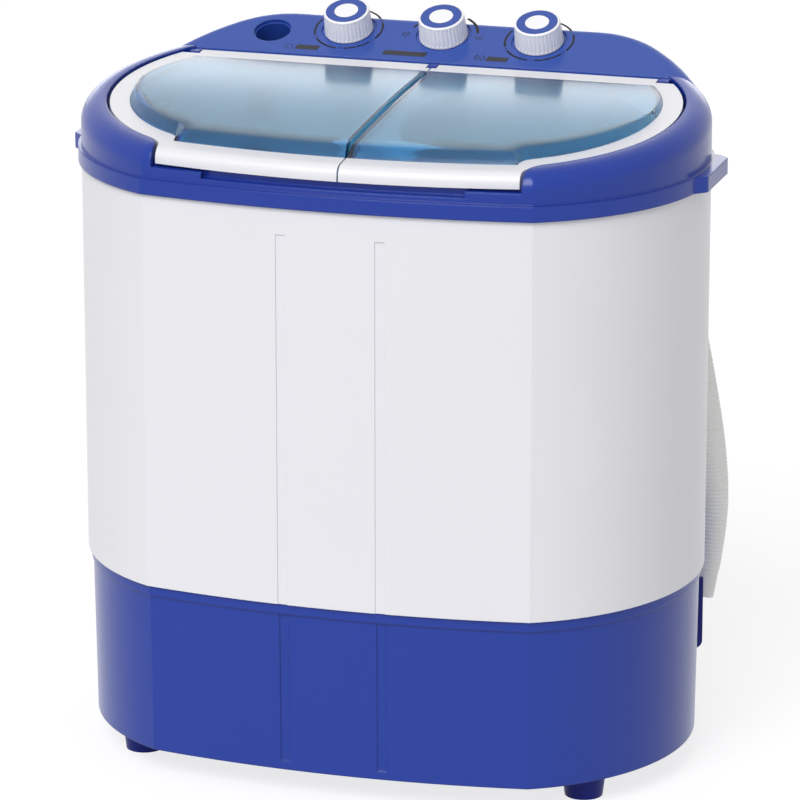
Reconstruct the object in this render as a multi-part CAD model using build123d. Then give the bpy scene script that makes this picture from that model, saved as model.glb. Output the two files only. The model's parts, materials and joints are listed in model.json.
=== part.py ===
"""Small twin-tub washing machine: a wash tub and a spin dryer side by side under two flap lids.

Millimetres, +Z up, front towards -Y. The origin lies on the floor under the middle of the machine.
"""
from build123d import *
import os
from math import acos, asin, atan2, cos, degrees, hypot, radians, sin, sqrt, tan

# Plan of the body: a bowed front, two round ends and a flat back
BODY_WIDTH = 570.0
SIDE_RADIUS = 197.4
SIDE_CENTRE_Y = -2.0
CREASE_X = 177.0
FRONT_BOW = 16.0
REAR_TRIM = 17.4
REAR_ROUND = 100.0

# Levels above the floor
FOOT_HEIGHT = 24.0
CABINET_BOTTOM = 181.0
RIM_BOTTOM = 541.0
RIM_TOP = 555.0
SILL_TOP = 565.5
GRIP_TOP = 560.0
TUB_FLANGE_TOP = 550.0
TUB_BOTTOM = 212.0
CONSOLE_SEAT = 600.0

# Walls and clearances
CABINET_WALL = 2.5
BASE_WALL = 3.0
FRAME_WALL = 3.0
TUB_WALL = 2.5
TUB_FLOOR = 3.0
FIT_GAP = 0.3
RUNNING_GAP = 0.05
KEYED_GAP = 0.02

# Cabinet and base
CABINET_LAP = 7.0
CABINET_FLANGE = 6.5
CABINET_FLANGE_THICK = 3.0
BASE_BAND = 10.0
BASE_BAND_INSET = 3.0
BASE_TOP_INSET = 4.5
BASE_FOOT_INSET = 6.5
BASE_TONGUE = 9.0
BASE_TONGUE_THICK = 2.2
GROOVE_X = 45.0
GROOVE_WIDTH = 9.0
GROOVE_DEPTH = 0.9
GROOVE_TOP = 517.0
GROOVE_FOOT = 8.0
RIM_OUTSET = 3.0

# Feet
FOOT_FRONT = (208.0, -105.0)
FOOT_REAR = (200.0, 112.0)
FOOT_TOP_RADIUS = 20.0
FOOT_SOLE_RADIUS = 17.0
FOOT_STUD_RADIUS = 4.0
FOOT_STUD_LENGTH = 8.0

# Carrying lugs on the rim
LUG_REACH = 294.5
LUG_FRONT_Y = -40.0
LUG_REAR_Y = 55.0
LUG_BEVEL = 10.0
LUG_ROUND = 5.0

# Lids: a shallow slope down to the front, hinged on one rod
LID_PITCH = 5.8
LID_REAR_Y = 106.0
LID_REAR_Z = 610.0
LID_DEPTH = 13.0
LID_SKIN = 3.0
LID_SIDE_INSET = 26.0
LID_TURN = 58.0
LID_SWEEP = 29.5
NOSE_FLAT = 2.0
LID_FRONT_INSET = 4.0
LID_NOSE_FILLET = 10.0
LID_DECK_GAP = 0.5
LID_SIDE_GAP = 3.0
LID_SPLIT_X = 6.0
LID_SPLIT_GAP = 1.5
WING_RISE = 1.5
WING_FILLET = 18.0
WINDOW_SIDE_INSET = 18.0
WINDOW_TURN = 60.0
WINDOW_SWEEP = 16.5
WINDOW_FRONT_INSET = 29.0
WINDOW_REAR_Y = 80.0
WINDOW_THICK = 3.0
WINDOW_LAP = 3.0
WINDOW_RISE = 1.0
WINDOW_PITCH = 4.0
WINDOW_BEVEL = 9.0
SILL_DEPTH = 9.0
GRIP_HALF_WIDTH = 119.0

# Lid hinge
HINGE_SETBACK = 6.5
HINGE_BEAD = 5.0
HINGE_ROD_RADIUS = 2.5
HINGE_END_INSET = 8.7
HINGE_ROD_GRIP = 7.0
HINGE_LUG_WIDTH = 8.0
HINGE_LUG_DEPTH = 13.0
HINGE_NOTCH = 10.0
HINGE_SIDE_GAP = 1.0

# Control console
PANEL_PITCH = 23.0
PANEL_WALL = 3.0
PANEL_FILLET = 12.0
KNOB_X = (-90.0, 1.0, 92.0)
KNOB_UP_SLOPE = 44.5
KNOB_HEIGHT = 21.5
KNOB_FOOT_RADIUS = 22.5
KNOB_TOP_RADIUS = 21.0
KNOB_WALL = 2.5
KNOB_FLUTES = 36
KNOB_FLUTE_RADIUS = 1.2
KNOB_FLUTE_DEPTH = 0.6
KNOB_SKIRT = 1.8
KNOB_EDGE = 1.5
KNOB_RING_OUTER = 19.0
KNOB_RING_INNER = 11.0
KNOB_RING_DEPTH = 2.0
KNOB_RECESS_RADIUS = 25.5
KNOB_RECESS = 1.8
KNOB_LIFT = 0.6
KNOB_BOSS_RADIUS = 7.0
SPINDLE_RADIUS = 3.0
SPINDLE_HOLE = 4.5
TIMER_WIDTH = 48.0
TIMER_LENGTH = 34.0
TIMER_DEPTH = 26.0
TIMER_BORE_DEPTH = 20.0
INLET_X = -161.0
INLET_UP_SLOPE = 34.5
INLET_BORE = 16.0
INLET_WALL = 2.5
INLET_FLANGE = 4.5
INLET_STEP = 1.5
INLET_LENGTH = 28.0
CHUTE_WIDTH = 38.0
CHUTE_HEIGHT = 20.0
CHUTE_LIFT = 4.0
CHUTE_WALL = 2.0
CHUTE_BACK_GAP = 6.0
CHUTE_NOSE = 4.0

# Wash tub
TUB_LEFT = -232.0
TUB_RIGHT = -14.0
TUB_FRONT = -150.0
TUB_BACK = 86.0
TUB_OUTER_CORNER = 95.0
TUB_INNER_CORNER = 40.0
TUB_DRAFT = 10.0
TUB_FLANGE = 8.0
TUB_FLANGE_THICK = 3.0
LINT_THICK = 9.0
LINT_LOW = 320.0
LINT_HIGH = 480.0
LINT_FRONT = -75.0
LINT_BACK = 15.0
LINT_SLOTS = 6
LINT_SLOT_WIDTH = 7.0
LINT_SLOT_MARGIN = 14.0

# Wash drive
WASH_AXIS = (-122.0, -32.0)
WASH_SHAFT_RADIUS = 6.0
PULSATOR_RADIUS = 85.0
PULSATOR_LIFT = 6.0
PULSATOR_RIM = 5.0
PULSATOR_CROWN = 16.0
PULSATOR_FINS = 4
PULSATOR_FIN_WIDTH = 11.0
PULSATOR_FIN_RISE = 14.0
PULSATOR_CAP_RADIUS = 16.0
HOUSING_RADIUS = 22.0
HOUSING_FLANGE_RADIUS = 42.0
HOUSING_FLANGE = 6.0
HOUSING_NECK = 13.8
HOUSING_NECK_RISE = 4.0
HOUSING_BOTTOM = 86.0
PULLEY_BOTTOM = 50.0
PULLEY_WIDTH = 14.0
PULLEY_GROOVE_RADIUS = 62.0
PULLEY_FLANGE = 7.0
PULLEY_HUB_RADIUS = 16.0
PULLEY_WEB = 5.0
PULLEY_HOLES = 6
PULLEY_HOLE_RADIUS = 13.0
PULLEY_HOLE_CIRCLE = 38.0
MOTOR_AXIS = (-8.0, 45.0)
MOTOR_PULLEY_GROOVE = 17.0
MOTOR_SHAFT_RADIUS = 5.0
MOTOR_RADIUS = 45.0
MOTOR_BELL_RADIUS = 36.0
MOTOR_BELL = 12.0
MOTOR_BOTTOM = 82.0
MOTOR_HEIGHT = 84.0
MOTOR_EAR_CIRCLE = 57.0
MOTOR_EAR_RADIUS = 9.0
MOTOR_EAR_THICK = 4.0
MOTOR_EARS = (34.0, 124.0, 304.0)
MOTOR_PILLAR_RADIUS = 7.0
BELT_WIDTH = 8.0
BELT_THICK = 6.0

# Spin dryer
SPIN_AXIS = (125.0, -23.0)
SPIN_TUB_RADIUS = 112.0
BASKET_RADIUS = 98.0
BASKET_WALL = 2.0
BASKET_BOTTOM = 236.0
BASKET_TOP = 516.0
BASKET_FLOOR = 3.0
BASKET_LIP = 6.0
BASKET_LIP_THICK = 4.0
BASKET_HUB_RADIUS = 18.0
BASKET_HUB = 8.0
BASKET_BOSS = 12.0
BASKET_ROWS = 4
BASKET_SLOTS = 14
BASKET_SLOT_WIDTH = 5.0
BASKET_SLOT_HEIGHT = 36.0
BASKET_SLOT_PITCH = 62.0
PLATE_THICK = 4.0
PLATE_BEAD = 4.0
PLATE_EDGE_GAP = 2.0
PLATE_GRIP_RADIUS = 22.0
PLATE_GRIP_RISE = 9.0
PLATE_HOLES = 8
PLATE_HOLE_RADIUS = 7.0
SPIN_SHAFT_RADIUS = 7.0
SPIN_SHAFT_BOTTOM = 92.0
SPIN_SHAFT_TOP = 250.0
SEAL_FLANGE_RADIUS = 32.0
SEAL_FLANGE = 3.0
SEAL_NECK_RADIUS = 25.0
SEAL_LIP_RADIUS = 12.0
SEAL_DROP = 16.0
SEAL_RISE = 10.0
SPIN_MOTOR_RADIUS = 55.0
SPIN_MOTOR_BOTTOM = 78.0
SPIN_MOTOR_HEIGHT = 82.0
SPIN_PLATE_RADIUS = 62.0
SPIN_PLATE = 5.0
SPIN_MOUNTS = 3
SPIN_MOUNT_RADIUS = 14.0
SPIN_MOUNT_CIRCLE = 38.0
SPIN_MOUNT_WAIST = 2.5
DRUM_RADIUS = 50.0
DRUM_BOTTOM = 172.0
DRUM_HEIGHT = 18.0
DRUM_WALL = 3.0
BRAKE_PIVOT = (68.0, -46.0)
BRAKE_PIN_RADIUS = 4.0
BRAKE_LIFT = 3.0
BRAKE_THICK = 8.0
BRAKE_ARM_WIDTH = 12.0
BRAKE_ARM_LENGTH = 92.0
BRAKE_BOSS_RADIUS = 9.0
BRAKE_SHOE_HALF = 8.0
BRAKE_SHOE_GAP = 6.5

# Drain
VALVE_X = 0.0
VALVE_SETBACK = 38.0
VALVE_RADIUS = 24.0
VALVE_WALL = 3.0
VALVE_BOTTOM = 148.0
VALVE_TOP = 206.0
VALVE_SEAT_RISE = 10.0
VALVE_SEAT_RADIUS = 11.0
VALVE_SEAT_THICK = 3.0
PLUNGER_RADIUS = 17.0
PLUNGER_THICK = 6.0
PULL_ROD_RADIUS = 3.0
PULL_ROD_TOP = 570.0
PULL_EYE_RADIUS = 7.0
PULL_EYE_THICK = 5.0
PIPE_RADIUS = 13.0
PIPE_WALL = 2.5
PIPE_BEND = 26.0
WASH_OUTLET = (-60.0, 60.0)
WASH_PIPE_Z = 188.0
SPIN_OUTLET_RADIUS = 94.0
SPIN_OUTLET_ANGLE = 132.0
MANIFOLD_Z = 120.0
OUTLET_X = -98.0
OUTLET_TOP = 150.0
OUTLET_BEND = 18.0
OUTLET_RADIUS = 12.0
OUTLET_WALL = 2.0
OUTLET_COLLAR_RADIUS = 15.5
OUTLET_COLLAR = 4.0
OUTLET_BARB = 14.0

# Drain hose: ribbed, hung in a clip on the back, its cut end loose at the right
HOSE_CREST_RADIUS = 14.0
HOSE_ROOT_RADIUS = 12.4
HOSE_BORE_RADIUS = 10.6
HOSE_RIBS = 110
HOSE_RIB_FOOT = 0.35
HOSE_RIB_TOP = 0.15
HOSE_STANDOFF = 18.5
HOSE_ROUTE = (
    (-98.0, 196.5, 150.0),
    (-98.0, 196.5, 222.0),
    (-102.0, 198.0, 300.0),
    (-98.0, 197.0, 385.0),
    (-55.0, 196.5, 458.0),
    (19.0, 196.5, 500.0),
    (105.0, 196.5, 500.0),
    (179.0, 196.0, 458.0),
    (222.0, 193.0, 384.0),
    (238.0, 199.0, 300.0),
    (249.0, 205.0, 222.0),
    (250.0, 204.0, 158.0),
    (240.0, 194.0, 96.0),
)
BEND_SHARE = 0.45

# Hose clip, hose guide, cable gland and rear cover
CLIP_X = 62.0
CLIP_Z = 500.0
CLIP_WIDTH = 20.0
CLIP_JAW = 3.0
CLIP_PLATE = 3.0
CLIP_PLATE_HALF = 26.0
CLIP_PAST_MIDDLE = 0.5
GUIDE_ANGLE = 32.0
GUIDE_BOTTOM = 74.0
GUIDE_TOP = 142.0
GUIDE_THICK = 4.0
GUIDE_REACH = 14.0
GLAND_X = 110.0
GLAND_Z = 110.0
GLAND_RADIUS = 8.0
GLAND_HEAD_RADIUS = 11.0
GLAND_HEAD = 6.0
GLAND_BORE = 3.5
REAR_HALF_WIDTH = 130.0
REAR_LOW = 205.0
REAR_HIGH = 452.0
REAR_LAP = 12.0
REAR_PLATE = 2.5
REAR_CORNER = 14.0
REAR_SLOTS = 7
REAR_SLOT_LENGTH = 70.0
REAR_SLOT_WIDTH = 5.0
REAR_SLOT_PITCH = 14.0
REAR_SLOT_LOW = 250.0
REAR_SCREW_ROWS = 3
SCREW_HEAD_RADIUS = 4.0
SCREW_HEAD = 1.6
SCREW_SHANK_RADIUS = 2.0
SCREW_GRIP = 8.0
CAPACITOR_PLACE = (-200.0, 60.0)
CAPACITOR_RADIUS = 17.0
CAPACITOR_HEIGHT = 62.0
CAPACITOR_EDGE = 2.0

# Sizes that follow from the ones above
SIDE_CENTRE_X = BODY_WIDTH / 2 - SIDE_RADIUS
CREASE_Y = SIDE_CENTRE_Y - sqrt(SIDE_RADIUS**2 - (CREASE_X - SIDE_CENTRE_X) ** 2)
FRONT_Y = CREASE_Y - FRONT_BOW
FRONT_RADIUS = (CREASE_X**2 + FRONT_BOW**2) / (2 * FRONT_BOW)
FRONT_CENTRE_Y = FRONT_Y + FRONT_RADIUS
REAR_Y = SIDE_CENTRE_Y + SIDE_RADIUS - REAR_TRIM
CABINET_TOP = RIM_BOTTOM + CABINET_LAP
BASE_BAND_BOTTOM = CABINET_BOTTOM - BASE_BAND
BASE_FLOOR_TOP = FOOT_HEIGHT + BASE_WALL
TUB_FLOOR_TOP = TUB_BOTTOM + TUB_FLOOR
LID_RADIUS = SIDE_RADIUS - LID_SIDE_INSET
WINDOW_RADIUS = LID_RADIUS - WINDOW_SIDE_INSET
LID_NOSE_X = SIDE_CENTRE_X + (LID_RADIUS + LID_SWEEP) * cos(radians(LID_TURN)) - LID_SWEEP
SILL_HALF_WIDTH = LID_NOSE_X + LID_SIDE_GAP
HINGE_Y = LID_REAR_Y - HINGE_SETBACK
HINGE_Z = LID_REAR_Z - HINGE_SETBACK * tan(radians(LID_PITCH)) - HINGE_BEAD / cos(radians(LID_PITCH))
HINGE_LUG_INNER = SIDE_CENTRE_X + sqrt(LID_RADIUS**2 - (HINGE_Y - SIDE_CENTRE_Y) ** 2) - HINGE_END_INSET
HINGE_ROD_HALF = HINGE_LUG_INNER + HINGE_ROD_GRIP
DECK_DEPTH = LID_DEPTH + LID_DECK_GAP
BELT_Z = PULLEY_BOTTOM + (PULLEY_WIDTH - BELT_WIDTH) / 2
VALVE_AXIS = (VALVE_X, REAR_Y - VALVE_SETBACK)
HOSE_BACK_Y = REAR_Y + HOSE_STANDOFF
FAR = 900.0

WINDOW_REAR_Z = LID_REAR_Z - (LID_REAR_Y - WINDOW_REAR_Y) * tan(radians(LID_PITCH)) + WINDOW_RISE
WINDOW_PLANE = Plane(
    origin=(0, WINDOW_REAR_Y, WINDOW_REAR_Z),
    x_dir=(1, 0, 0),
    z_dir=(0, -sin(radians(WINDOW_PITCH)), cos(radians(WINDOW_PITCH))),
)
LID_PLANE = Plane(
    origin=(0, LID_REAR_Y, LID_REAR_Z),
    x_dir=(1, 0, 0),
    z_dir=(0, -sin(radians(LID_PITCH)), cos(radians(LID_PITCH))),
)
PANEL_PLANE = Plane(
    origin=(0, LID_REAR_Y, LID_REAR_Z),
    x_dir=(1, 0, 0),
    z_dir=(0, -sin(radians(PANEL_PITCH)), cos(radians(PANEL_PITCH))),
)


# General helpers
def prism(plan, low, high):
    """Solid of a plan face between two levels."""
    return extrude(Pos(0, 0, low) * plan, high - low, dir=(0, 0, 1))


def tapered(low_plan, low, high_plan, high):
    """Solid with drafted walls between two like plan faces."""
    return loft([Pos(0, 0, low) * low_plan, Pos(0, 0, high) * high_plan], ruled=True)


def block(x_low, x_high, y_low, y_high, z_low, z_high):
    """Box from its six limits."""
    middle = Pos((x_low + x_high) / 2, (y_low + y_high) / 2, (z_low + z_high) / 2)
    return middle * Box(x_high - x_low, y_high - y_low, z_high - z_low)


def post(place, radius, low, high):
    """Upright round bar at a plan place."""
    return prism(Pos(place[0], place[1]) * Circle(radius), low, high)


def turned(place, profile):
    """Solid of revolution about an upright axis, from (radius, level) points."""
    flat = [(radius, 0, level) for radius, level in profile]
    return Pos(place[0], place[1]) * revolve(make_face(Polyline(*flat, close=True)), Axis.Z)


def below(plane, depth):
    """Half-space under a sloping plane, a depth below it."""
    return plane.offset(-depth) * Box(FAR, FAR, FAR, align=(Align.CENTER, Align.CENTER, Align.MAX))


def slab(plan, plane, top_depth, low_depth):
    """Upright-walled slice of a plan between two depths under a sloping plane."""
    column = prism(plan, CABINET_BOTTOM, FAR)
    return (column & below(plane, top_depth)) - below(plane, low_depth)


def ring_of(count, radius, start=0.0):
    """Places evenly spaced on a circle, with their angles in degrees."""
    places = []
    for number in range(count):
        angle = start + 360.0 * number / count
        places.append((radius * cos(radians(angle)), radius * sin(radians(angle)), angle))
    return places


def tube_along(path, outer, inner):
    """Hollow round pipe along a path."""
    start = Plane(origin=path @ 0, z_dir=path % 0)
    skin = sweep(start * Circle(outer), path=path)
    return skin - sweep(start * Circle(inner), path=path)


# The body's plan
def crease(grow):
    """Where the bowed front meets the right-hand round end, for an outline grown by an offset."""
    front = FRONT_RADIUS + grow
    side = SIDE_RADIUS + grow
    across = SIDE_CENTRE_X
    down = SIDE_CENTRE_Y - FRONT_CENTRE_Y
    span = hypot(across, down)
    along = (front**2 - side**2 + span**2) / (2 * span)
    offset = sqrt(front**2 - along**2)
    return ((along * across - offset * down) / span, FRONT_CENTRE_Y + (along * down + offset * across) / span)


def outline(grow=0.0):
    """Plan face of the body, grown outwards by an offset, with its rear corners rounded."""
    corner_x, corner_y = crease(grow)
    side = SIDE_RADIUS + grow
    flank_x = SIDE_CENTRE_X + side
    rear_y = REAR_Y + grow
    bend = REAR_ROUND + grow
    bend_y = REAR_Y - REAR_ROUND
    reach = SIDE_RADIUS - REAR_ROUND
    angle = asin((bend_y - SIDE_CENTRE_Y) / reach)
    bend_x = SIDE_CENTRE_X + reach * cos(angle)
    meet_x = SIDE_CENTRE_X + side * cos(angle)
    meet_y = SIDE_CENTRE_Y + side * sin(angle)
    half_way = (angle + radians(90)) / 2
    mid_x = bend_x + bend * cos(half_way)
    mid_y = bend_y + bend * sin(half_way)
    front = ThreePointArc((-corner_x, corner_y), (0, FRONT_Y - grow), (corner_x, corner_y))
    right = ThreePointArc((corner_x, corner_y), (flank_x, SIDE_CENTRE_Y), (meet_x, meet_y))
    right_bend = ThreePointArc((meet_x, meet_y), (mid_x, mid_y), (bend_x, rear_y))
    rear = Line((bend_x, rear_y), (-bend_x, rear_y))
    left_bend = ThreePointArc((-bend_x, rear_y), (-mid_x, mid_y), (-meet_x, meet_y))
    left = ThreePointArc((-meet_x, meet_y), (-flank_x, SIDE_CENTRE_Y), (-corner_x, corner_y))
    return make_face([front, right, right_bend, rear, left_bend, left])


def front_y(x, inset):
    """Front of the body at a side distance, set in by an inset."""
    return FRONT_CENTRE_Y - sqrt((FRONT_RADIUS - inset) ** 2 - x**2)


def lid_plan(inner_x, radius, turn, sweep_radius, front_inset, rear_y):
    """Right-hand lid plan: round end, a reversed curve in front of it, and the bowed front."""
    angle = radians(turn)
    turn_x = SIDE_CENTRE_X + radius * cos(angle)
    turn_y = SIDE_CENTRE_Y - radius * sin(angle)
    sweep_x = turn_x + sweep_radius * cos(angle)
    sweep_y = turn_y - sweep_radius * sin(angle)
    rear_x = SIDE_CENTRE_X + sqrt(radius**2 - (rear_y - SIDE_CENTRE_Y) ** 2)
    nose_x = sweep_x - sweep_radius
    passed = max(0.0, front_y(nose_x, front_inset) + NOSE_FLAT - sweep_y)
    lean = asin(passed / sweep_radius)
    half_way = (angle + lean) / 2
    bend_mid = (sweep_x - sweep_radius * cos(half_way), sweep_y + sweep_radius * sin(half_way))
    end_x = sweep_x - sweep_radius * cos(lean)
    end_y = sweep_y + sweep_radius * sin(lean)
    front_mid = (inner_x + end_x) / 2
    corners = [
        Line((inner_x, rear_y), (rear_x, rear_y)),
        ThreePointArc((rear_x, rear_y), (SIDE_CENTRE_X + radius, SIDE_CENTRE_Y), (turn_x, turn_y)),
        ThreePointArc((turn_x, turn_y), bend_mid, (end_x, end_y)),
        Line((end_x, end_y), (end_x, front_y(end_x, front_inset))),
        ThreePointArc(
            (end_x, front_y(end_x, front_inset)),
            (front_mid, front_y(front_mid, front_inset)),
            (inner_x, front_y(inner_x, front_inset)),
        ),
        Line((inner_x, front_y(inner_x, front_inset)), (inner_x, rear_y)),
    ]
    return make_face(corners)


def both_sides(plan):
    """A plan face and its mirror image across the middle, as one."""
    return plan + mirror(plan, about=Plane.YZ)


def tub_plan(inset):
    """Plan of the wash tub, with larger corners on its outer side."""
    corners = [
        (TUB_LEFT + inset, TUB_FRONT + inset),
        (TUB_RIGHT - inset, TUB_FRONT + inset),
        (TUB_RIGHT - inset, TUB_BACK - inset),
        (TUB_LEFT + inset, TUB_BACK - inset),
    ]
    outer = TUB_OUTER_CORNER - inset
    inner = TUB_INNER_CORNER - inset
    return make_face(FilletPolyline(*corners, radius=[outer, inner, inner, outer], close=True))


# Cabinet, base and feet
def front_grooves(skin, core, low, high):
    """Two shallow upright grooves, cut between a wall's face and a core set in from it."""
    strips = Part()
    for side in (-1, 1):
        middle = side * GROOVE_X
        strip = block(middle - GROOVE_WIDTH / 2, middle + GROOVE_WIDTH / 2, -FAR, 0, low, high)
        strips += strip & (skin - core)
    return strips


def rear_screw_places():
    """Places of the rear cover's screws, as x and z."""
    side = REAR_HALF_WIDTH + REAR_LAP / 2
    step = (REAR_HIGH - REAR_LOW) / (REAR_SCREW_ROWS - 1)
    return [(x, REAR_LOW + step * row) for x in (-side, side) for row in range(REAR_SCREW_ROWS)]


def rear_bar(x, z, radius, y_low, y_high):
    """Round bar that lies along Y."""
    return Plane(origin=(x, y_low, z), z_dir=(0, 1, 0)) * extrude(Circle(radius), y_high - y_low)


def make_cabinet():
    """White wrap-round wall with an inward foot flange, front grooves and a service opening."""
    outer = prism(outline(), CABINET_BOTTOM, CABINET_TOP)
    flange_inset = CABINET_WALL + CABINET_FLANGE
    wall = outer - prism(outline(-CABINET_WALL), CABINET_BOTTOM + CABINET_FLANGE_THICK, CABINET_TOP)
    wall -= prism(outline(-flange_inset), CABINET_BOTTOM, CABINET_BOTTOM + CABINET_FLANGE_THICK)
    core = prism(outline(-GROOVE_DEPTH), CABINET_BOTTOM, CABINET_TOP)
    wall -= front_grooves(outer, core, CABINET_BOTTOM, GROOVE_TOP)
    wall -= block(-REAR_HALF_WIDTH, REAR_HALF_WIDTH, 0, FAR, REAR_LOW, REAR_HIGH)
    for x, z in rear_screw_places():
        wall -= rear_bar(x, z, SCREW_SHANK_RADIUS + RUNNING_GAP, REAR_Y - SCREW_GRIP, REAR_Y + SCREW_GRIP)
    return wall


def foot_places():
    """Places of the four feet."""
    return [(side * x, y) for x, y in (FOOT_FRONT, FOOT_REAR) for side in (-1, 1)]


def motor_ear_places():
    """Places of the wash motor's three fixing ears."""
    places = []
    for angle in MOTOR_EARS:
        along = radians(angle)
        x = MOTOR_AXIS[0] + MOTOR_EAR_CIRCLE * cos(along)
        y = MOTOR_AXIS[1] + MOTOR_EAR_CIRCLE * sin(along)
        places.append((x, y))
    return places


def make_base():
    """Blue drafted tray with a stepped band, a locating tongue and the motor's pillars."""
    skin = tapered(outline(-BASE_FOOT_INSET), FOOT_HEIGHT, outline(-BASE_TOP_INSET), BASE_BAND_BOTTOM)
    low_room = outline(-BASE_FOOT_INSET - BASE_WALL)
    high_room = outline(-BASE_TOP_INSET - BASE_WALL)
    hollow = tapered(low_room, BASE_FLOOR_TOP, high_room, BASE_BAND_BOTTOM)
    low_core = outline(-BASE_FOOT_INSET - GROOVE_DEPTH)
    high_core = outline(-BASE_TOP_INSET - GROOVE_DEPTH)
    core = tapered(low_core, FOOT_HEIGHT, high_core, BASE_BAND_BOTTOM)
    tray = skin - hollow
    tray -= front_grooves(skin, core, FOOT_HEIGHT + GROOVE_FOOT, BASE_BAND_BOTTOM)
    tongue_inset = CABINET_WALL + CABINET_FLANGE + FIT_GAP
    inner_inset = tongue_inset + BASE_TONGUE_THICK
    tray += prism(outline(-BASE_BAND_INSET) - outline(-inner_inset), BASE_BAND_BOTTOM, CABINET_BOTTOM)
    tongue = outline(-tongue_inset) - outline(-inner_inset)
    tray += prism(tongue, CABINET_BOTTOM, CABINET_BOTTOM + BASE_TONGUE)
    for place in motor_ear_places():
        tray += post(place, MOTOR_PILLAR_RADIUS, FOOT_HEIGHT, MOTOR_BOTTOM)
    for place in foot_places():
        tray -= post(place, FOOT_STUD_RADIUS + RUNNING_GAP, 0, FOOT_HEIGHT + FOOT_STUD_LENGTH)
    tray -= rear_bar(OUTLET_X, MANIFOLD_Z, PIPE_RADIUS + FIT_GAP, SIDE_CENTRE_Y, FAR)
    tray -= rear_bar(GLAND_X, GLAND_Z, GLAND_RADIUS + FIT_GAP, SIDE_CENTRE_Y, FAR)
    return tray


def make_feet():
    """Four tapered feet, each with a stud into the base."""
    feet = []
    for place in foot_places():
        profile = [
            (0, 0),
            (FOOT_SOLE_RADIUS, 0),
            (FOOT_TOP_RADIUS, FOOT_HEIGHT),
            (FOOT_STUD_RADIUS, FOOT_HEIGHT),
            (FOOT_STUD_RADIUS, FOOT_HEIGHT + FOOT_STUD_LENGTH),
            (0, FOOT_HEIGHT + FOOT_STUD_LENGTH),
        ]
        feet.append(turned(place, profile))
    return Compound(children=feet)


# Top frame
def carrying_lug(side):
    """Plan of one carrying lug, a bevelled tongue with rounded corners that stands out from the rim."""
    corners = [
        (0, LUG_FRONT_Y),
        (side * (LUG_REACH - LUG_BEVEL), LUG_FRONT_Y),
        (side * LUG_REACH, LUG_FRONT_Y + LUG_BEVEL),
        (side * LUG_REACH, LUG_REAR_Y - LUG_BEVEL),
        (side * (LUG_REACH - LUG_BEVEL), LUG_REAR_Y),
        (0, LUG_REAR_Y),
    ]
    plan = make_face(Polyline(*corners, close=True))
    return fillet(plan.vertices().filter_by(lambda corner: corner.X != 0), LUG_ROUND)


def lid_well_plan(grow):
    """Plan of the sunk bed that both lids lie in."""
    spread = LID_SIDE_GAP + grow
    rear_y = LID_REAR_Y - FIT_GAP
    half = lid_plan(0, LID_RADIUS + spread, LID_TURN, LID_SWEEP - spread, -FRAME_WALL, rear_y)
    return both_sides(half)


def spin_circle(radius):
    """Plan circle about the spin axis."""
    return Pos(*SPIN_AXIS) * Circle(radius)


def sill_strip(depth, half_width, low):
    """Bowed strip along the front, from the outer face inwards, above a level."""
    band = prism(outline(RIM_OUTSET) - outline(-depth), low, FAR)
    return band & block(-half_width, half_width, -FAR, SIDE_CENTRE_Y - SIDE_RADIUS / 2, low, FAR)


def hinge_lug_spans():
    """Side to side limits of the three lugs that carry the hinge rod."""
    half = HINGE_LUG_WIDTH / 2
    outer = HINGE_ROD_HALF + FRAME_WALL
    return [(-outer, -HINGE_LUG_INNER), (LID_SPLIT_X - half, LID_SPLIT_X + half), (HINGE_LUG_INNER, outer)]


def hinge_notch_spans():
    """Side to side limits of the lids' notches round those lugs, open at both outer ends."""
    left, middle, right = hinge_lug_spans()
    gap = HINGE_SIDE_GAP
    return [(-FAR, left[1] + gap), (middle[0] - gap, middle[1] + gap), (right[0] - gap, FAR)]


def hinge_bar(radius, x_low, x_high):
    """Round bar along the hinge axis."""
    start = Plane(origin=(x_low, HINGE_Y, HINGE_Z), z_dir=(1, 0, 0))
    return start * extrude(Circle(radius), x_high - x_low)


def chute_block(grow):
    """Outer box of the water chute, grown by a clearance."""
    low = TUB_FLANGE_TOP + CHUTE_LIFT
    half = CHUTE_WIDTH / 2 + grow
    front = TUB_BACK - TUB_WALL - CHUTE_NOSE
    back = REAR_Y - FRAME_WALL - CHUTE_BACK_GAP
    return block(INLET_X - half, INLET_X + half, front, back, low - grow, low + CHUTE_HEIGHT + grow)


def crown_shape(inset):
    """Solid shape of the top above its rim with rounded shoulders, set in by a wall."""
    column = prism(outline(-inset), CABINET_BOTTOM, FAR) & below(LID_PLANE, inset - WING_RISE)
    return fillet(column.faces().sort_by(Axis.Z)[-1].edges(), WING_FILLET - inset)


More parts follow.
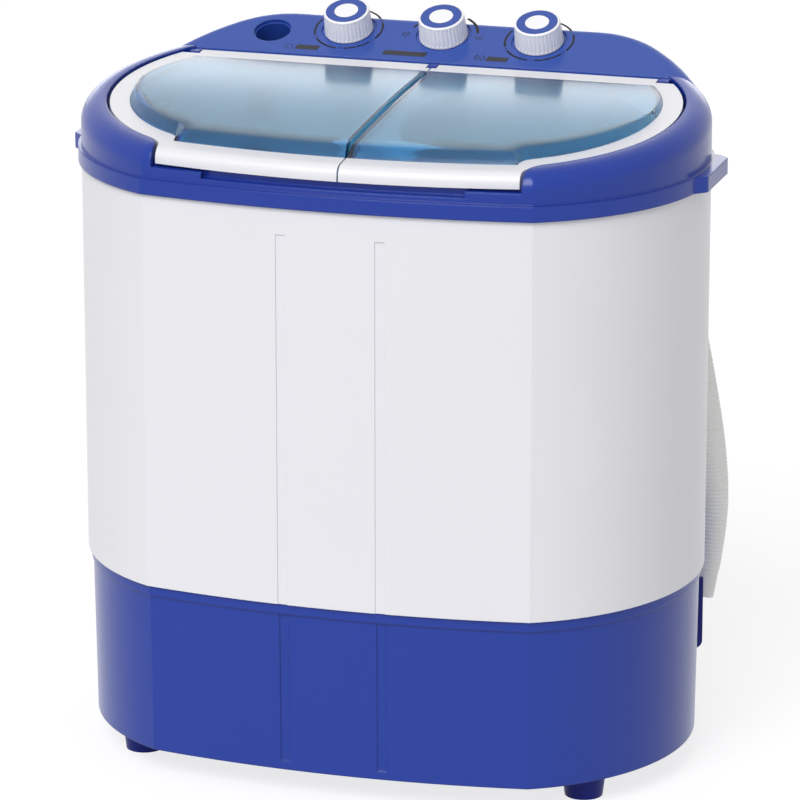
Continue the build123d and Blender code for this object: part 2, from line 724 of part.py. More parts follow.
def make_top_frame():
    """Blue top: rim, carrying lugs, rounded wings, sunk lid bed with two wells, and the console's seat."""
    frame = crown_shape(0) & block(-FAR, FAR, -FAR, FAR, RIM_TOP, FAR)
    frame += prism(outline(RIM_OUTSET), RIM_BOTTOM, RIM_TOP)
    for side in (-1, 1):
        frame += prism(carrying_lug(side), RIM_BOTTOM, RIM_TOP)
    frame -= prism(lid_well_plan(0), RIM_TOP, FAR) - below(LID_PLANE, DECK_DEPTH)
    frame -= block(-FAR, FAR, LID_REAR_Y - FIT_GAP, FAR, CONSOLE_SEAT, FAR)
    frame -= sill_strip(SILL_DEPTH, SILL_HALF_WIDTH, SILL_TOP)
    frame -= sill_strip(SILL_DEPTH, GRIP_HALF_WIDTH, GRIP_TOP)

    hollow = crown_shape(FRAME_WALL) & block(-FAR, FAR, -FAR, FAR, CABINET_TOP, FAR)
    bed = prism(lid_well_plan(FRAME_WALL), RIM_BOTTOM, FAR) - below(LID_PLANE, DECK_DEPTH + FRAME_WALL)
    hollow -= bed & block(-FAR, FAR, -FAR, LID_REAR_Y + FRAME_WALL, RIM_BOTTOM, FAR)
    hollow -= sill_strip(SILL_DEPTH + FRAME_WALL, SILL_HALF_WIDTH + FRAME_WALL, SILL_TOP - FRAME_WALL)
    hollow -= sill_strip(SILL_DEPTH + FRAME_WALL, GRIP_HALF_WIDTH + FRAME_WALL, GRIP_TOP - FRAME_WALL)
    hollow -= prism(tub_plan(TUB_WALL - FRAME_WALL), TUB_FLANGE_TOP, FAR)
    hollow -= prism(spin_circle(SPIN_TUB_RADIUS - TUB_WALL + FRAME_WALL), TUB_FLANGE_TOP, FAR)
    frame -= hollow
    frame -= prism(outline(FIT_GAP), RIM_BOTTOM, CABINET_TOP)
    frame -= prism(tub_plan(TUB_WALL), RIM_BOTTOM, FAR)
    frame -= prism(spin_circle(SPIN_TUB_RADIUS - TUB_WALL), RIM_BOTTOM, FAR)

    for x_low, x_high in hinge_lug_spans():
        lug = block(x_low, x_high, HINGE_Y - HINGE_LUG_DEPTH / 2, LID_REAR_Y, RIM_TOP, HINGE_Z + HINGE_BEAD)
        frame += lug - below(LID_PLANE, DECK_DEPTH + FRAME_WALL / 2)
    frame -= hinge_bar(HINGE_ROD_RADIUS + RUNNING_GAP, -HINGE_ROD_HALF, HINGE_ROD_HALF)
    frame -= chute_block(FIT_GAP)
    return frame


# Control console
def on_panel(x, up_slope, depth=0.0):
    """Plane on the sloping panel face, sunk by a depth, facing outwards."""
    return PANEL_PLANE.offset(-depth) * Plane(origin=(x, up_slope, 0))


def console_shape(inset):
    """Solid shape of the console above its seat, set in by a wall."""
    column = prism(outline(-inset), RIM_TOP, FAR) & below(PANEL_PLANE, inset)
    column &= block(-FAR, FAR, LID_REAR_Y + FIT_GAP + inset, FAR, RIM_TOP, FAR)
    rim = column.faces().sort_by(Axis.Z)[-1].edges().sort_by(Axis.Y)[1:]
    return fillet(rim, PANEL_FILLET - inset) & block(-FAR, FAR, 0, FAR, CONSOLE_SEAT, FAR)


def make_control_panel():
    """Sloping console cover with three knob recesses and the water inlet's hole."""
    body = console_shape(0)
    body -= console_shape(PANEL_WALL)
    for x in KNOB_X:
        body -= on_panel(x, KNOB_UP_SLOPE, KNOB_RECESS) * extrude(Circle(KNOB_RECESS_RADIUS), KNOB_RECESS * 2)
        body -= on_panel(x, KNOB_UP_SLOPE, PANEL_WALL * 2) * extrude(Circle(SPINDLE_HOLE), PANEL_WALL * 3)
    inlet_hole = Circle(INLET_BORE + INLET_STEP)
    body -= on_panel(INLET_X, INLET_UP_SLOPE, PANEL_WALL * 2) * extrude(inlet_hole, PANEL_WALL * 3)
    return body


def make_knob(x):
    """Fluted knob, hollow below, with a socket for its spindle and a groove for the ring on top."""
    height = KNOB_HEIGHT
    grip = loft([Circle(KNOB_FOOT_RADIUS), Pos(0, 0, height) * Circle(KNOB_TOP_RADIUS)], ruled=True)
    grip = fillet(grip.edges().sort_by(Axis.Z)[-1], KNOB_EDGE)
    out = KNOB_FLUTE_RADIUS - KNOB_FLUTE_DEPTH
    narrow = (KNOB_TOP_RADIUS - KNOB_FOOT_RADIUS) / height
    start = Plane(origin=(KNOB_FOOT_RADIUS + narrow * KNOB_SKIRT + out, 0, KNOB_SKIRT), z_dir=(narrow, 0, 1))
    flute = start * extrude(Circle(KNOB_FLUTE_RADIUS), height - KNOB_SKIRT * 2)
    grip -= [Rot(0, 0, angle) * flute for _, _, angle in ring_of(KNOB_FLUTES, KNOB_FOOT_RADIUS)]
    room = height - KNOB_WALL - KNOB_RING_DEPTH
    cavity = extrude(Circle(KNOB_TOP_RADIUS - KNOB_WALL) - Circle(KNOB_BOSS_RADIUS), room)
    grip -= cavity
    grip -= extrude(Circle(SPINDLE_RADIUS + KEYED_GAP), room)
    ring = Circle(KNOB_RING_OUTER) - Circle(KNOB_RING_INNER)
    grip -= Pos(0, 0, height - KNOB_RING_DEPTH) * extrude(ring, KNOB_RING_DEPTH)
    return on_panel(x, KNOB_UP_SLOPE, KNOB_RECESS - KNOB_LIFT) * grip


def make_knob_ring(x):
    """Blue ring let into a knob's top."""
    ring = Circle(KNOB_RING_OUTER - KEYED_GAP) - Circle(KNOB_RING_INNER + KEYED_GAP)
    place = on_panel(x, KNOB_UP_SLOPE, KNOB_RECESS - KNOB_LIFT - KNOB_HEIGHT + KNOB_RING_DEPTH)
    return place * extrude(ring, KNOB_RING_DEPTH)


def make_spindle(x):
    """Knob spindle, from inside its switch body up into the knob."""
    low = PANEL_WALL + TIMER_BORE_DEPTH - RUNNING_GAP
    high = KNOB_HEIGHT - KNOB_WALL - KNOB_RING_DEPTH + KNOB_LIFT - KNOB_RECESS
    return on_panel(x, KNOB_UP_SLOPE, low) * extrude(Circle(SPINDLE_RADIUS), low + high)


def make_switch_body(x):
    """Timer or selector body that hangs under the panel, with a blind bore for its spindle."""
    case = Box(TIMER_WIDTH, TIMER_LENGTH, TIMER_DEPTH, align=(Align.CENTER, Align.CENTER, Align.MAX))
    case = chamfer(case.edges().filter_by(Axis.Z), KNOB_WALL)
    case -= Pos(0, 0, -TIMER_BORE_DEPTH) * extrude(Circle(SPINDLE_RADIUS + RUNNING_GAP), TIMER_BORE_DEPTH)
    return on_panel(x, KNOB_UP_SLOPE, PANEL_WALL) * case


def make_water_inlet():
    """Bush under the panel's hole that takes a tap hose, with a flange against the panel."""
    outer = INLET_BORE + INLET_WALL
    bush = Pos(0, 0, -INLET_LENGTH) * extrude(Circle(outer), INLET_LENGTH)
    bush += Pos(0, 0, -INLET_WALL) * extrude(Circle(outer + INLET_FLANGE), INLET_WALL)
    bush -= Pos(0, 0, -INLET_LENGTH) * extrude(Circle(INLET_BORE), INLET_LENGTH)
    return on_panel(INLET_X, INLET_UP_SLOPE, PANEL_WALL) * bush


def make_water_chute():
    """Trough under the inlet that pours into the wash tub."""
    shell = chute_block(0)
    hollow = chute_block(-CHUTE_WALL)
    reach = hollow.bounding_box()
    back = LID_REAR_Y + FRAME_WALL + CHUTE_WALL
    shell -= hollow
    shell -= block(reach.min.X, reach.max.X, -FAR, SIDE_CENTRE_Y + TUB_BACK, reach.min.Z, reach.max.Z)
    shell -= block(reach.min.X, reach.max.X, back, reach.max.Y, reach.min.Z, FAR)
    return shell


# Lids
def lid_inner_x(side):
    """Distance of a lid's inner edge from the middle, positive on that lid's own side."""
    return side * LID_SPLIT_X + LID_SPLIT_GAP / 2


def window_plan(inner_x, grow):
    """Plan of the see-through window, grown by a lap."""
    return lid_plan(
        inner_x,
        WINDOW_RADIUS + grow,
        WINDOW_TURN,
        WINDOW_SWEEP - grow,
        WINDOW_FRONT_INSET - grow,
        WINDOW_REAR_Y + grow,
    )


def make_lid_frame(side):
    """White lid frame: rear bar with the hinge bead, outer side and rounded front, open at the split."""
    inner_x = lid_inner_x(side)
    open_x = inner_x - HINGE_LUG_WIDTH
    outer = lid_plan(inner_x, LID_RADIUS, LID_TURN, LID_SWEEP, LID_FRONT_INSET, HINGE_Y)
    room = lid_plan(
        open_x,
        LID_RADIUS - LID_SKIN,
        LID_TURN,
        LID_SWEEP + LID_SKIN,
        LID_FRONT_INSET + LID_SKIN,
        HINGE_Y - HINGE_BEAD,
    )
    shell = slab(outer, LID_PLANE, 0, LID_DEPTH)
    nose = shell.edges().filter_by(GeomType.LINE, reverse=True).group_by(Axis.Y)[0].sort_by(Axis.Z)[-1]
    shell = fillet(nose, LID_NOSE_FILLET)
    shell -= slab(room, LID_PLANE, LID_SKIN, LID_DEPTH * 2)
    shell -= slab(window_plan(open_x, 0), LID_PLANE, -LID_DEPTH, LID_DEPTH)
    if side < 0:
        shell = mirror(shell, about=Plane.YZ)
    x_low, x_high = sorted((side * inner_x, side * (HINGE_LUG_INNER - HINGE_SIDE_GAP)))
    shell += hinge_bar(HINGE_BEAD, x_low, x_high)
    for notch_low, notch_high in hinge_notch_spans():
        shell -= block(notch_low, notch_high, HINGE_Y - HINGE_NOTCH, FAR, CABINET_BOTTOM, FAR)
    shell -= hinge_bar(HINGE_ROD_RADIUS + RUNNING_GAP, -HINGE_ROD_HALF, HINGE_ROD_HALF)
    return shell


def window_dome(inner_x, sink):
    """Bevelled field of a window with its upright sides, set in and down by a distance."""
    foot_plan = window_plan(inner_x + sink, -FIT_GAP - sink)
    crown_plan = window_plan(inner_x + WINDOW_BEVEL / 2 + sink, -FIT_GAP - WINDOW_BEVEL - sink)
    foot = slab(foot_plan, LID_PLANE, sink, LID_SKIN + WINDOW_THICK + sink)
    crown = slab(crown_plan, WINDOW_PLANE, sink, sink + WINDOW_THICK)
    tops = [piece.faces().sort_by(Axis.Z)[-1] for piece in (foot, crown)]
    return foot + loft(tops, ruled=True)


def make_lid_window(side):
    """Clear window: a rim under the frame and a bevelled, hollow field that stands up through it."""
    inner_x = lid_inner_x(side)
    rim = slab(window_plan(inner_x, WINDOW_LAP), LID_PLANE, LID_SKIN, LID_SKIN + WINDOW_THICK)
    window = rim + window_dome(inner_x, 0) - window_dome(inner_x, WINDOW_THICK)
    return window if side > 0 else mirror(window, about=Plane.YZ)


def make_hinge_rod():
    """Steel rod that both lids turn on."""
    return hinge_bar(HINGE_ROD_RADIUS, -HINGE_ROD_HALF + FIT_GAP, HINGE_ROD_HALF - FIT_GAP)


# Wash tub and its drive
def make_wash_tub():
    """Drafted wash tub with a hanging flange, the drive's hole and the drain."""
    bottom_inset = TUB_DRAFT
    skin = tapered(tub_plan(bottom_inset), TUB_BOTTOM, tub_plan(0), TUB_FLANGE_TOP)
    room = tapered(tub_plan(bottom_inset + TUB_WALL), TUB_FLOOR_TOP, tub_plan(TUB_WALL), TUB_FLANGE_TOP)
    tub = skin + prism(tub_plan(-TUB_FLANGE), TUB_FLANGE_TOP - TUB_FLANGE_THICK, TUB_FLANGE_TOP)
    tub -= room
    tub -= post(WASH_AXIS, HOUSING_NECK + FIT_GAP, 0, TUB_FLOOR_TOP)
    tub -= post(WASH_OUTLET, PIPE_RADIUS - PIPE_WALL, 0, TUB_FLOOR_TOP)
    return tub


def make_lint_filter():
    """Slotted filter box against the tub's inner wall."""
    room = tapered(tub_plan(TUB_DRAFT + TUB_WALL), TUB_FLOOR_TOP, tub_plan(TUB_WALL), TUB_FLANGE_TOP)
    inset = TUB_WALL + LINT_THICK
    core = tapered(tub_plan(TUB_DRAFT + inset), TUB_FLOOR_TOP, tub_plan(inset), TUB_FLANGE_TOP)
    middle = (TUB_LEFT + TUB_RIGHT) / 2
    case = (room - core) & block(middle, 0, LINT_FRONT, LINT_BACK, LINT_LOW, LINT_HIGH)
    step = (LINT_BACK - LINT_FRONT) / LINT_SLOTS
    for number in range(LINT_SLOTS):
        y = LINT_FRONT + step * (number + 0.5)
        low = LINT_LOW + LINT_SLOT_MARGIN
        high = LINT_HIGH - LINT_SLOT_MARGIN
        case -= block(middle, 0, y - LINT_SLOT_WIDTH / 2, y + LINT_SLOT_WIDTH / 2, low, high)
    return case


def make_bearing_housing():
    """Bearing sleeve bolted under the wash tub, with a neck up through its floor."""
    bore = WASH_SHAFT_RADIUS + RUNNING_GAP
    neck_top = TUB_FLOOR_TOP + HOUSING_NECK_RISE
    profile = [
        (bore, HOUSING_BOTTOM),
        (HOUSING_RADIUS, HOUSING_BOTTOM),
        (HOUSING_RADIUS, TUB_BOTTOM - HOUSING_FLANGE * 2),
        (HOUSING_FLANGE_RADIUS, TUB_BOTTOM - HOUSING_FLANGE),
        (HOUSING_FLANGE_RADIUS, TUB_BOTTOM),
        (HOUSING_NECK, TUB_BOTTOM),
        (HOUSING_NECK, neck_top),
        (bore, neck_top),
    ]
    return turned(WASH_AXIS, profile)


def pulsator_levels():
    """Underside, rim top and crown top of the pulsator."""
    low = TUB_FLOOR_TOP + PULSATOR_LIFT
    return low, low + PULSATOR_RIM, low + PULSATOR_CROWN


def make_pulsator():
    """Dished disc with raised fins that swirls the water."""
    low, rim, crown = pulsator_levels()
    bore = WASH_SHAFT_RADIUS + KEYED_GAP
    profile = [
        (bore, low),
        (PULSATOR_RADIUS, low),
        (PULSATOR_RADIUS, rim),
        (PULSATOR_CAP_RADIUS * 3, rim + PULSATOR_RIM / 2),
        (PULSATOR_CAP_RADIUS, crown),
        (bore, crown),
    ]
    disc = turned(WASH_AXIS, profile)
    half = PULSATOR_FIN_WIDTH / 2
    for _, _, angle in ring_of(PULSATOR_FINS, PULSATOR_RADIUS):
        side_view = Polyline(
            (PULSATOR_CAP_RADIUS / 2, 0, low + PULSATOR_RIM / 2),
            (PULSATOR_RADIUS - half, 0, low + PULSATOR_RIM / 2),
            (PULSATOR_RADIUS - half, 0, rim + half / 2),
            (PULSATOR_CAP_RADIUS, 0, rim + PULSATOR_FIN_RISE),
            (PULSATOR_CAP_RADIUS / 2, 0, rim + PULSATOR_FIN_RISE),
            close=True,
        )
        fin = extrude(make_face(side_view), half, both=True)
        disc += Pos(*WASH_AXIS) * Rot(0, 0, angle) * fin
    cap_top = rim + PULSATOR_FIN_RISE + half
    disc += post(WASH_AXIS, PULSATOR_CAP_RADIUS, low, cap_top)
    disc -= post(WASH_AXIS, bore, 0, crown)
    return disc


def make_pulsator_shaft():
    """Upright shaft from the large pulley up into the pulsator."""
    crown = pulsator_levels()[2]
    return post(WASH_AXIS, WASH_SHAFT_RADIUS, PULLEY_BOTTOM, crown)


def grooved_pulley(place, groove, shaft):
    """Pulley with one flat-bottomed groove for the belt."""
    bore = shaft + KEYED_GAP
    rim = groove + PULLEY_FLANGE
    cheek = (PULLEY_WIDTH - BELT_WIDTH) / 2 - FIT_GAP
    low = PULLEY_BOTTOM
    high = PULLEY_BOTTOM + PULLEY_WIDTH
    profile = [
        (bore, low),
        (rim, low),
        (rim, low + cheek),
        (groove, low + cheek),
        (groove, high - cheek),
        (rim, high - cheek),
        (rim, high),
        (bore, high),
    ]
    return turned(place, profile)


def make_wash_pulley():
    """Large pulley on the pulsator shaft, dished and pierced."""
    pulley = grooved_pulley(WASH_AXIS, PULLEY_GROOVE_RADIUS, WASH_SHAFT_RADIUS)
    dish = Pos(*WASH_AXIS) * (Circle(PULLEY_GROOVE_RADIUS - PULLEY_WEB) - Circle(PULLEY_HUB_RADIUS))
    pulley -= prism(dish, PULLEY_BOTTOM + PULLEY_WEB, PULLEY_BOTTOM + PULLEY_WIDTH)
    for x, y, _ in ring_of(PULLEY_HOLES, PULLEY_HOLE_CIRCLE):
        place = (WASH_AXIS[0] + x, WASH_AXIS[1] + y)
        pulley -= post(place, PULLEY_HOLE_RADIUS, 0, PULLEY_BOTTOM + PULLEY_WIDTH)
    return pulley


def make_motor_pulley():
    """Small pulley on the wash motor's shaft."""
    return grooved_pulley(MOTOR_AXIS, MOTOR_PULLEY_GROOVE, MOTOR_SHAFT_RADIUS)


def make_motor_shaft():
    """Wash motor shaft, out of the motor's lower end."""
    return post(MOTOR_AXIS, MOTOR_SHAFT_RADIUS, PULLEY_BOTTOM, MOTOR_BOTTOM + MOTOR_HEIGHT / 2)


def belt_loop(grow):
    """Plan of the belt's loop round both pulleys, a distance out from their grooves."""
    large = PULLEY_GROOVE_RADIUS + grow
    small = MOTOR_PULLEY_GROOVE + grow
    across = MOTOR_AXIS[0] - WASH_AXIS[0]
    along = MOTOR_AXIS[1] - WASH_AXIS[1]
    heading = atan2(along, across)
    lean = acos((large - small) / hypot(across, along))

    def on_circle(centre, radius, angle):
        return (centre[0] + radius * cos(angle), centre[1] + radius * sin(angle))

    wash_up = on_circle(WASH_AXIS, large, heading + lean)
    wash_down = on_circle(WASH_AXIS, large, heading - lean)
    wash_back = on_circle(WASH_AXIS, -large, heading)
    motor_up = on_circle(MOTOR_AXIS, small, heading + lean)
    motor_down = on_circle(MOTOR_AXIS, small, heading - lean)
    motor_front = on_circle(MOTOR_AXIS, small, heading)
    return make_face(
        [
            Line(wash_up, motor_up),
            ThreePointArc(motor_up, motor_front, motor_down),
            Line(motor_down, wash_down),
            ThreePointArc(wash_down, wash_back, wash_up),
        ]
    )


def make_drive_belt():
    """Rubber belt between the motor's pulley and the large one."""
    return prism(belt_loop(FIT_GAP + BELT_THICK) - belt_loop(FIT_GAP), BELT_Z, BELT_Z + BELT_WIDTH)


def make_wash_motor():
    """Wash motor with stepped end bells and three ears on the base's pillars."""
    bore = MOTOR_SHAFT_RADIUS + RUNNING_GAP
    top = MOTOR_BOTTOM + MOTOR_HEIGHT
    profile = [
        (bore, MOTOR_BOTTOM),
        (MOTOR_BELL_RADIUS, MOTOR_BOTTOM),
        (MOTOR_RADIUS, MOTOR_BOTTOM + MOTOR_BELL),
        (MOTOR_RADIUS, top - MOTOR_BELL),
        (MOTOR_BELL_RADIUS, top),
        (bore, top),
    ]
    motor = turned(MOTOR_AXIS, profile)
    for place in motor_ear_places():
        arm_x = (place[0] + MOTOR_AXIS[0]) / 2
        arm_y = (place[1] + MOTOR_AXIS[1]) / 2
        turn = degrees(atan2(place[1] - MOTOR_AXIS[1], place[0] - MOTOR_AXIS[0]))
        arm = Pos(arm_x, arm_y) * Rot(0, 0, turn) * Rectangle(MOTOR_EAR_CIRCLE, MOTOR_EAR_RADIUS * 2)
        ear = arm + Pos(*place) * Circle(MOTOR_EAR_RADIUS)
        ear -= Pos(*MOTOR_AXIS) * Circle(MOTOR_BELL_RADIUS)
        motor += prism(ear, MOTOR_BOTTOM, MOTOR_BOTTOM + MOTOR_EAR_THICK)
    return motor


def make_capacitor():
    """Start capacitor standing on the base's floor."""
    low = BASE_FLOOR_TOP
    can = post(CAPACITOR_PLACE, CAPACITOR_RADIUS, low, low + CAPACITOR_HEIGHT)
    return fillet(can.edges().sort_by(Axis.Z)[-1], CAPACITOR_EDGE)


# Spin dryer
def spin_outlet():
    """Place of the spin tub's drain."""
    angle = radians(SPIN_OUTLET_ANGLE)
    return (SPIN_AXIS[0] + SPIN_OUTLET_RADIUS * cos(angle), SPIN_AXIS[1] + SPIN_OUTLET_RADIUS * sin(angle))


def make_spin_tub():
    """Round outer tub of the spin dryer with a hanging flange."""
    flange_low = TUB_FLANGE_TOP - TUB_FLANGE_THICK
    inner = SPIN_TUB_RADIUS - TUB_WALL
    profile = [
        (SEAL_NECK_RADIUS + FIT_GAP, TUB_BOTTOM),
        (SPIN_TUB_RADIUS, TUB_BOTTOM),
        (SPIN_TUB_RADIUS, flange_low),
        (SPIN_TUB_RADIUS + TUB_FLANGE, flange_low),
        (SPIN_TUB_RADIUS + TUB_FLANGE, TUB_FLANGE_TOP),
        (inner, TUB_FLANGE_TOP),
        (inner, TUB_FLOOR_TOP),
        (SEAL_NECK_RADIUS + FIT_GAP, TUB_FLOOR_TOP),
    ]
    return turned(SPIN_AXIS, profile) - post(spin_outlet(), PIPE_RADIUS - PIPE_WALL, 0, TUB_FLOOR_TOP)


def make_spin_basket():
    """Pierced basket with an inward lip and a hub on the spin shaft."""
    inner = BASKET_RADIUS - BASKET_WALL
    floor_top = BASKET_BOTTOM + BASKET_FLOOR
    bore = SPIN_SHAFT_RADIUS + KEYED_GAP
    lip = BASKET_RADIUS - BASKET_LIP
    profile = [
        (bore, BASKET_BOTTOM - BASKET_HUB),
        (BASKET_HUB_RADIUS, BASKET_BOTTOM - BASKET_HUB),
        (BASKET_HUB_RADIUS, BASKET_BOTTOM),
        (BASKET_RADIUS, BASKET_BOTTOM),
        (BASKET_RADIUS, BASKET_TOP),
        (lip, BASKET_TOP),
        (lip, BASKET_TOP - BASKET_LIP_THICK),
        (inner, BASKET_TOP - BASKET_LIP_THICK * 2),
        (inner, floor_top),
        (BASKET_HUB_RADIUS, floor_top),
        (BASKET_HUB_RADIUS, floor_top + BASKET_BOSS),
        (bore, floor_top + BASKET_BOSS),
    ]
    basket = turned(SPIN_AXIS, profile)
    low = BASKET_BOTTOM + BASKET_SLOT_PITCH / 2
    for row in range(BASKET_ROWS):
        for _, _, angle in ring_of(BASKET_SLOTS, BASKET_RADIUS, start=row * 180.0 / BASKET_SLOTS):
            middle = low + row * BASKET_SLOT_PITCH
            slot = Pos(BASKET_RADIUS, 0, middle) * Box(BASKET_WALL * 4, BASKET_SLOT_WIDTH, BASKET_SLOT_HEIGHT)
            basket -= Pos(*SPIN_AXIS) * Rot(0, 0, angle) * slot
    return basket


def make_press_plate():
    """Loose plate that lies on the basket's boss and holds the laundry down, with a round grip."""
    edge = BASKET_RADIUS - BASKET_LIP - PLATE_EDGE_GAP
    low = BASKET_BOTTOM + BASKET_FLOOR + BASKET_BOSS
    top = low + PLATE_THICK
    profile = [
        (0, low),
        (edge, low),
        (edge, top + PLATE_BEAD),
        (edge - PLATE_BEAD, top + PLATE_BEAD),
        (edge - PLATE_BEAD, top),
        (PLATE_GRIP_RADIUS, top),
        (PLATE_GRIP_RADIUS - PLATE_BEAD, top + PLATE_GRIP_RISE),
        (0, top + PLATE_GRIP_RISE),
    ]
    plate = turned(SPIN_AXIS, profile)
    for x, y, _ in ring_of(PLATE_HOLES, (edge + PLATE_GRIP_RADIUS) / 2):
        plate -= post((SPIN_AXIS[0] + x, SPIN_AXIS[1] + y), PLATE_HOLE_RADIUS, low, top)
    return plate


def make_spin_shaft():
    """Shaft from the spin motor up through the seal into the basket."""
    return post(SPIN_AXIS, SPIN_SHAFT_RADIUS, SPIN_SHAFT_BOTTOM, SPIN_SHAFT_TOP)


def make_spin_seal():
    """Rubber bellows seal in the spin tub's floor, with a lip on the shaft."""
    lip = SPIN_SHAFT_RADIUS + RUNNING_GAP
    bottom = TUB_BOTTOM - SEAL_DROP
    top = TUB_FLOOR_TOP + SEAL_RISE
    flange_top = TUB_FLOOR_TOP + SEAL_FLANGE
    profile = [
        (lip, bottom),
        (SEAL_LIP_RADIUS, bottom),
        (SEAL_NECK_RADIUS, TUB_BOTTOM - SEAL_FLANGE),
        (SEAL_NECK_RADIUS, TUB_FLOOR_TOP),
        (SEAL_FLANGE_RADIUS, TUB_FLOOR_TOP),
        (SEAL_FLANGE_RADIUS, flange_top),
        (SEAL_LIP_RADIUS + SEAL_FLANGE, flange_top),
        (SEAL_LIP_RADIUS, top),
        (lip, top),
    ]
    return turned(SPIN_AXIS, profile)


def brake_pivot():
    """Place of the brake lever's pin."""
    return (SPIN_AXIS[0] + BRAKE_PIVOT[0], SPIN_AXIS[1] + BRAKE_PIVOT[1])


def brake_levels():
    """Underside and top of the brake lever."""
    low = DRUM_BOTTOM + BRAKE_LIFT
    return low, low + BRAKE_THICK


def make_spin_motor():
    """Spin motor with a top plate that carries the brake's pin."""
    bore = SPIN_SHAFT_RADIUS + RUNNING_GAP
    plate_low = SPIN_MOTOR_BOTTOM + SPIN_MOTOR_HEIGHT
    plate_top = plate_low + SPIN_PLATE
    profile = [
        (bore, SPIN_MOTOR_BOTTOM),
        (SPIN_MOTOR_RADIUS - MOTOR_BELL, SPIN_MOTOR_BOTTOM),
        (SPIN_MOTOR_RADIUS, SPIN_MOTOR_BOTTOM + MOTOR_BELL),
        (SPIN_MOTOR_RADIUS, plate_low),
        (SPIN_PLATE_RADIUS, plate_low),
        (SPIN_PLATE_RADIUS, plate_top),
        (bore, plate_top),
    ]
    motor = turned(SPIN_AXIS, profile)
    pivot = brake_pivot()
    arm_reach = hypot(*BRAKE_PIVOT)
    turn = degrees(atan2(BRAKE_PIVOT[1], BRAKE_PIVOT[0]))
    arm = Pos(arm_reach / 2, 0) * Rectangle(arm_reach, BRAKE_BOSS_RADIUS * 2)
    tongue = Pos(*SPIN_AXIS) * Rot(0, 0, turn) * arm + Pos(*pivot) * Circle(BRAKE_BOSS_RADIUS)
    motor += prism(tongue - spin_circle(SPIN_MOTOR_RADIUS), plate_low, plate_top)
    motor += post(pivot, BRAKE_BOSS_RADIUS - BRAKE_LIFT, plate_low, brake_levels()[0] - RUNNING_GAP)
    motor += post(pivot, BRAKE_PIN_RADIUS, plate_low, brake_levels()[1] + BRAKE_LIFT)
    return motor


def make_spin_mounts():
    """Three waisted rubber buffers between the spin motor and the base."""
    middle = (BASE_FLOOR_TOP + SPIN_MOTOR_BOTTOM) / 2
    buffers = []
    for x, y, _ in ring_of(SPIN_MOUNTS, SPIN_MOUNT_CIRCLE, start=90.0):
        profile = [
            (0, BASE_FLOOR_TOP),
            (SPIN_MOUNT_RADIUS, BASE_FLOOR_TOP),
            (SPIN_MOUNT_RADIUS - SPIN_MOUNT_WAIST, middle),
            (SPIN_MOUNT_RADIUS, SPIN_MOTOR_BOTTOM),
            (0, SPIN_MOTOR_BOTTOM),
        ]
        buffers.append(turned((SPIN_AXIS[0] + x, SPIN_AXIS[1] + y), profile))
    return Compound(children=buffers)


def make_brake_drum():
    """Cup-shaped brake drum on the spin shaft."""
    bore = SPIN_SHAFT_RADIUS + KEYED_GAP
    top = DRUM_BOTTOM + DRUM_HEIGHT
    profile = [
        (bore, DRUM_BOTTOM),
        (BASKET_HUB_RADIUS, DRUM_BOTTOM),
        (BASKET_HUB_RADIUS, top - DRUM_WALL),
        (DRUM_RADIUS - DRUM_WALL, top - DRUM_WALL),
        (DRUM_RADIUS - DRUM_WALL, DRUM_BOTTOM),
        (DRUM_RADIUS, DRUM_BOTTOM),
        (DRUM_RADIUS, top),
        (bore, top),
    ]
    return turned(SPIN_AXIS, profile)


def make_brake_lever():
    """Brake arm beside the drum, with a curved shoe."""
    low, high = brake_levels()
    pivot_x, pivot_y = brake_pivot()
    half = BRAKE_ARM_WIDTH / 2
    arm = Pos(pivot_x, pivot_y + BRAKE_ARM_LENGTH / 2) * Rectangle(BRAKE_ARM_WIDTH, BRAKE_ARM_LENGTH)
    shoe_in = SPIN_AXIS[0] + DRUM_RADIUS / 2
    shoe = Pos((shoe_in + pivot_x) / 2, SPIN_AXIS[1]) * Rectangle(pivot_x - shoe_in, BRAKE_SHOE_HALF * 2)
    plan = arm + (shoe - spin_circle(DRUM_RADIUS + BRAKE_SHOE_GAP))
    plan += Pos(pivot_x, pivot_y) * Circle(BRAKE_BOSS_RADIUS)
    plan += Pos(pivot_x, pivot_y + BRAKE_ARM_LENGTH) * Circle(half)
    plan -= Pos(pivot_x, pivot_y) * Circle(BRAKE_PIN_RADIUS + RUNNING_GAP)
    return prism(plan, low, high)


# Drain
def valve_post(radius, low, high):
    """Upright round bar on the drain valve's axis."""
    return post(VALVE_AXIS, radius, low, high)


def manifold_path():
    """Route of the pipe from the spin tub past the valve and out through the back."""
    spin_x, spin_y = spin_outlet()
    corners = [
        (spin_x, spin_y, TUB_BOTTOM),
        (spin_x, spin_y, MANIFOLD_Z),
        (spin_x, VALVE_AXIS[1], MANIFOLD_Z),
        (OUTLET_X, VALVE_AXIS[1], MANIFOLD_Z),
        (OUTLET_X, REAR_Y - BASE_TOP_INSET, MANIFOLD_Z),
    ]
    bends = [PIPE_BEND] * (len(corners) - 3) + [(REAR_Y - BASE_TOP_INSET - VALVE_AXIS[1]) * BEND_SHARE]
    return FilletPolyline(*corners, radius=bends)


def make_drain_manifold():
    """Drain pipe from the spin tub to the back, with a port under the valve."""
    pipe = tube_along(manifold_path(), PIPE_RADIUS, PIPE_RADIUS - PIPE_WALL)
    return pipe - valve_post(VALVE_SEAT_RADIUS - PIPE_WALL, MANIFOLD_Z, VALVE_BOTTOM)


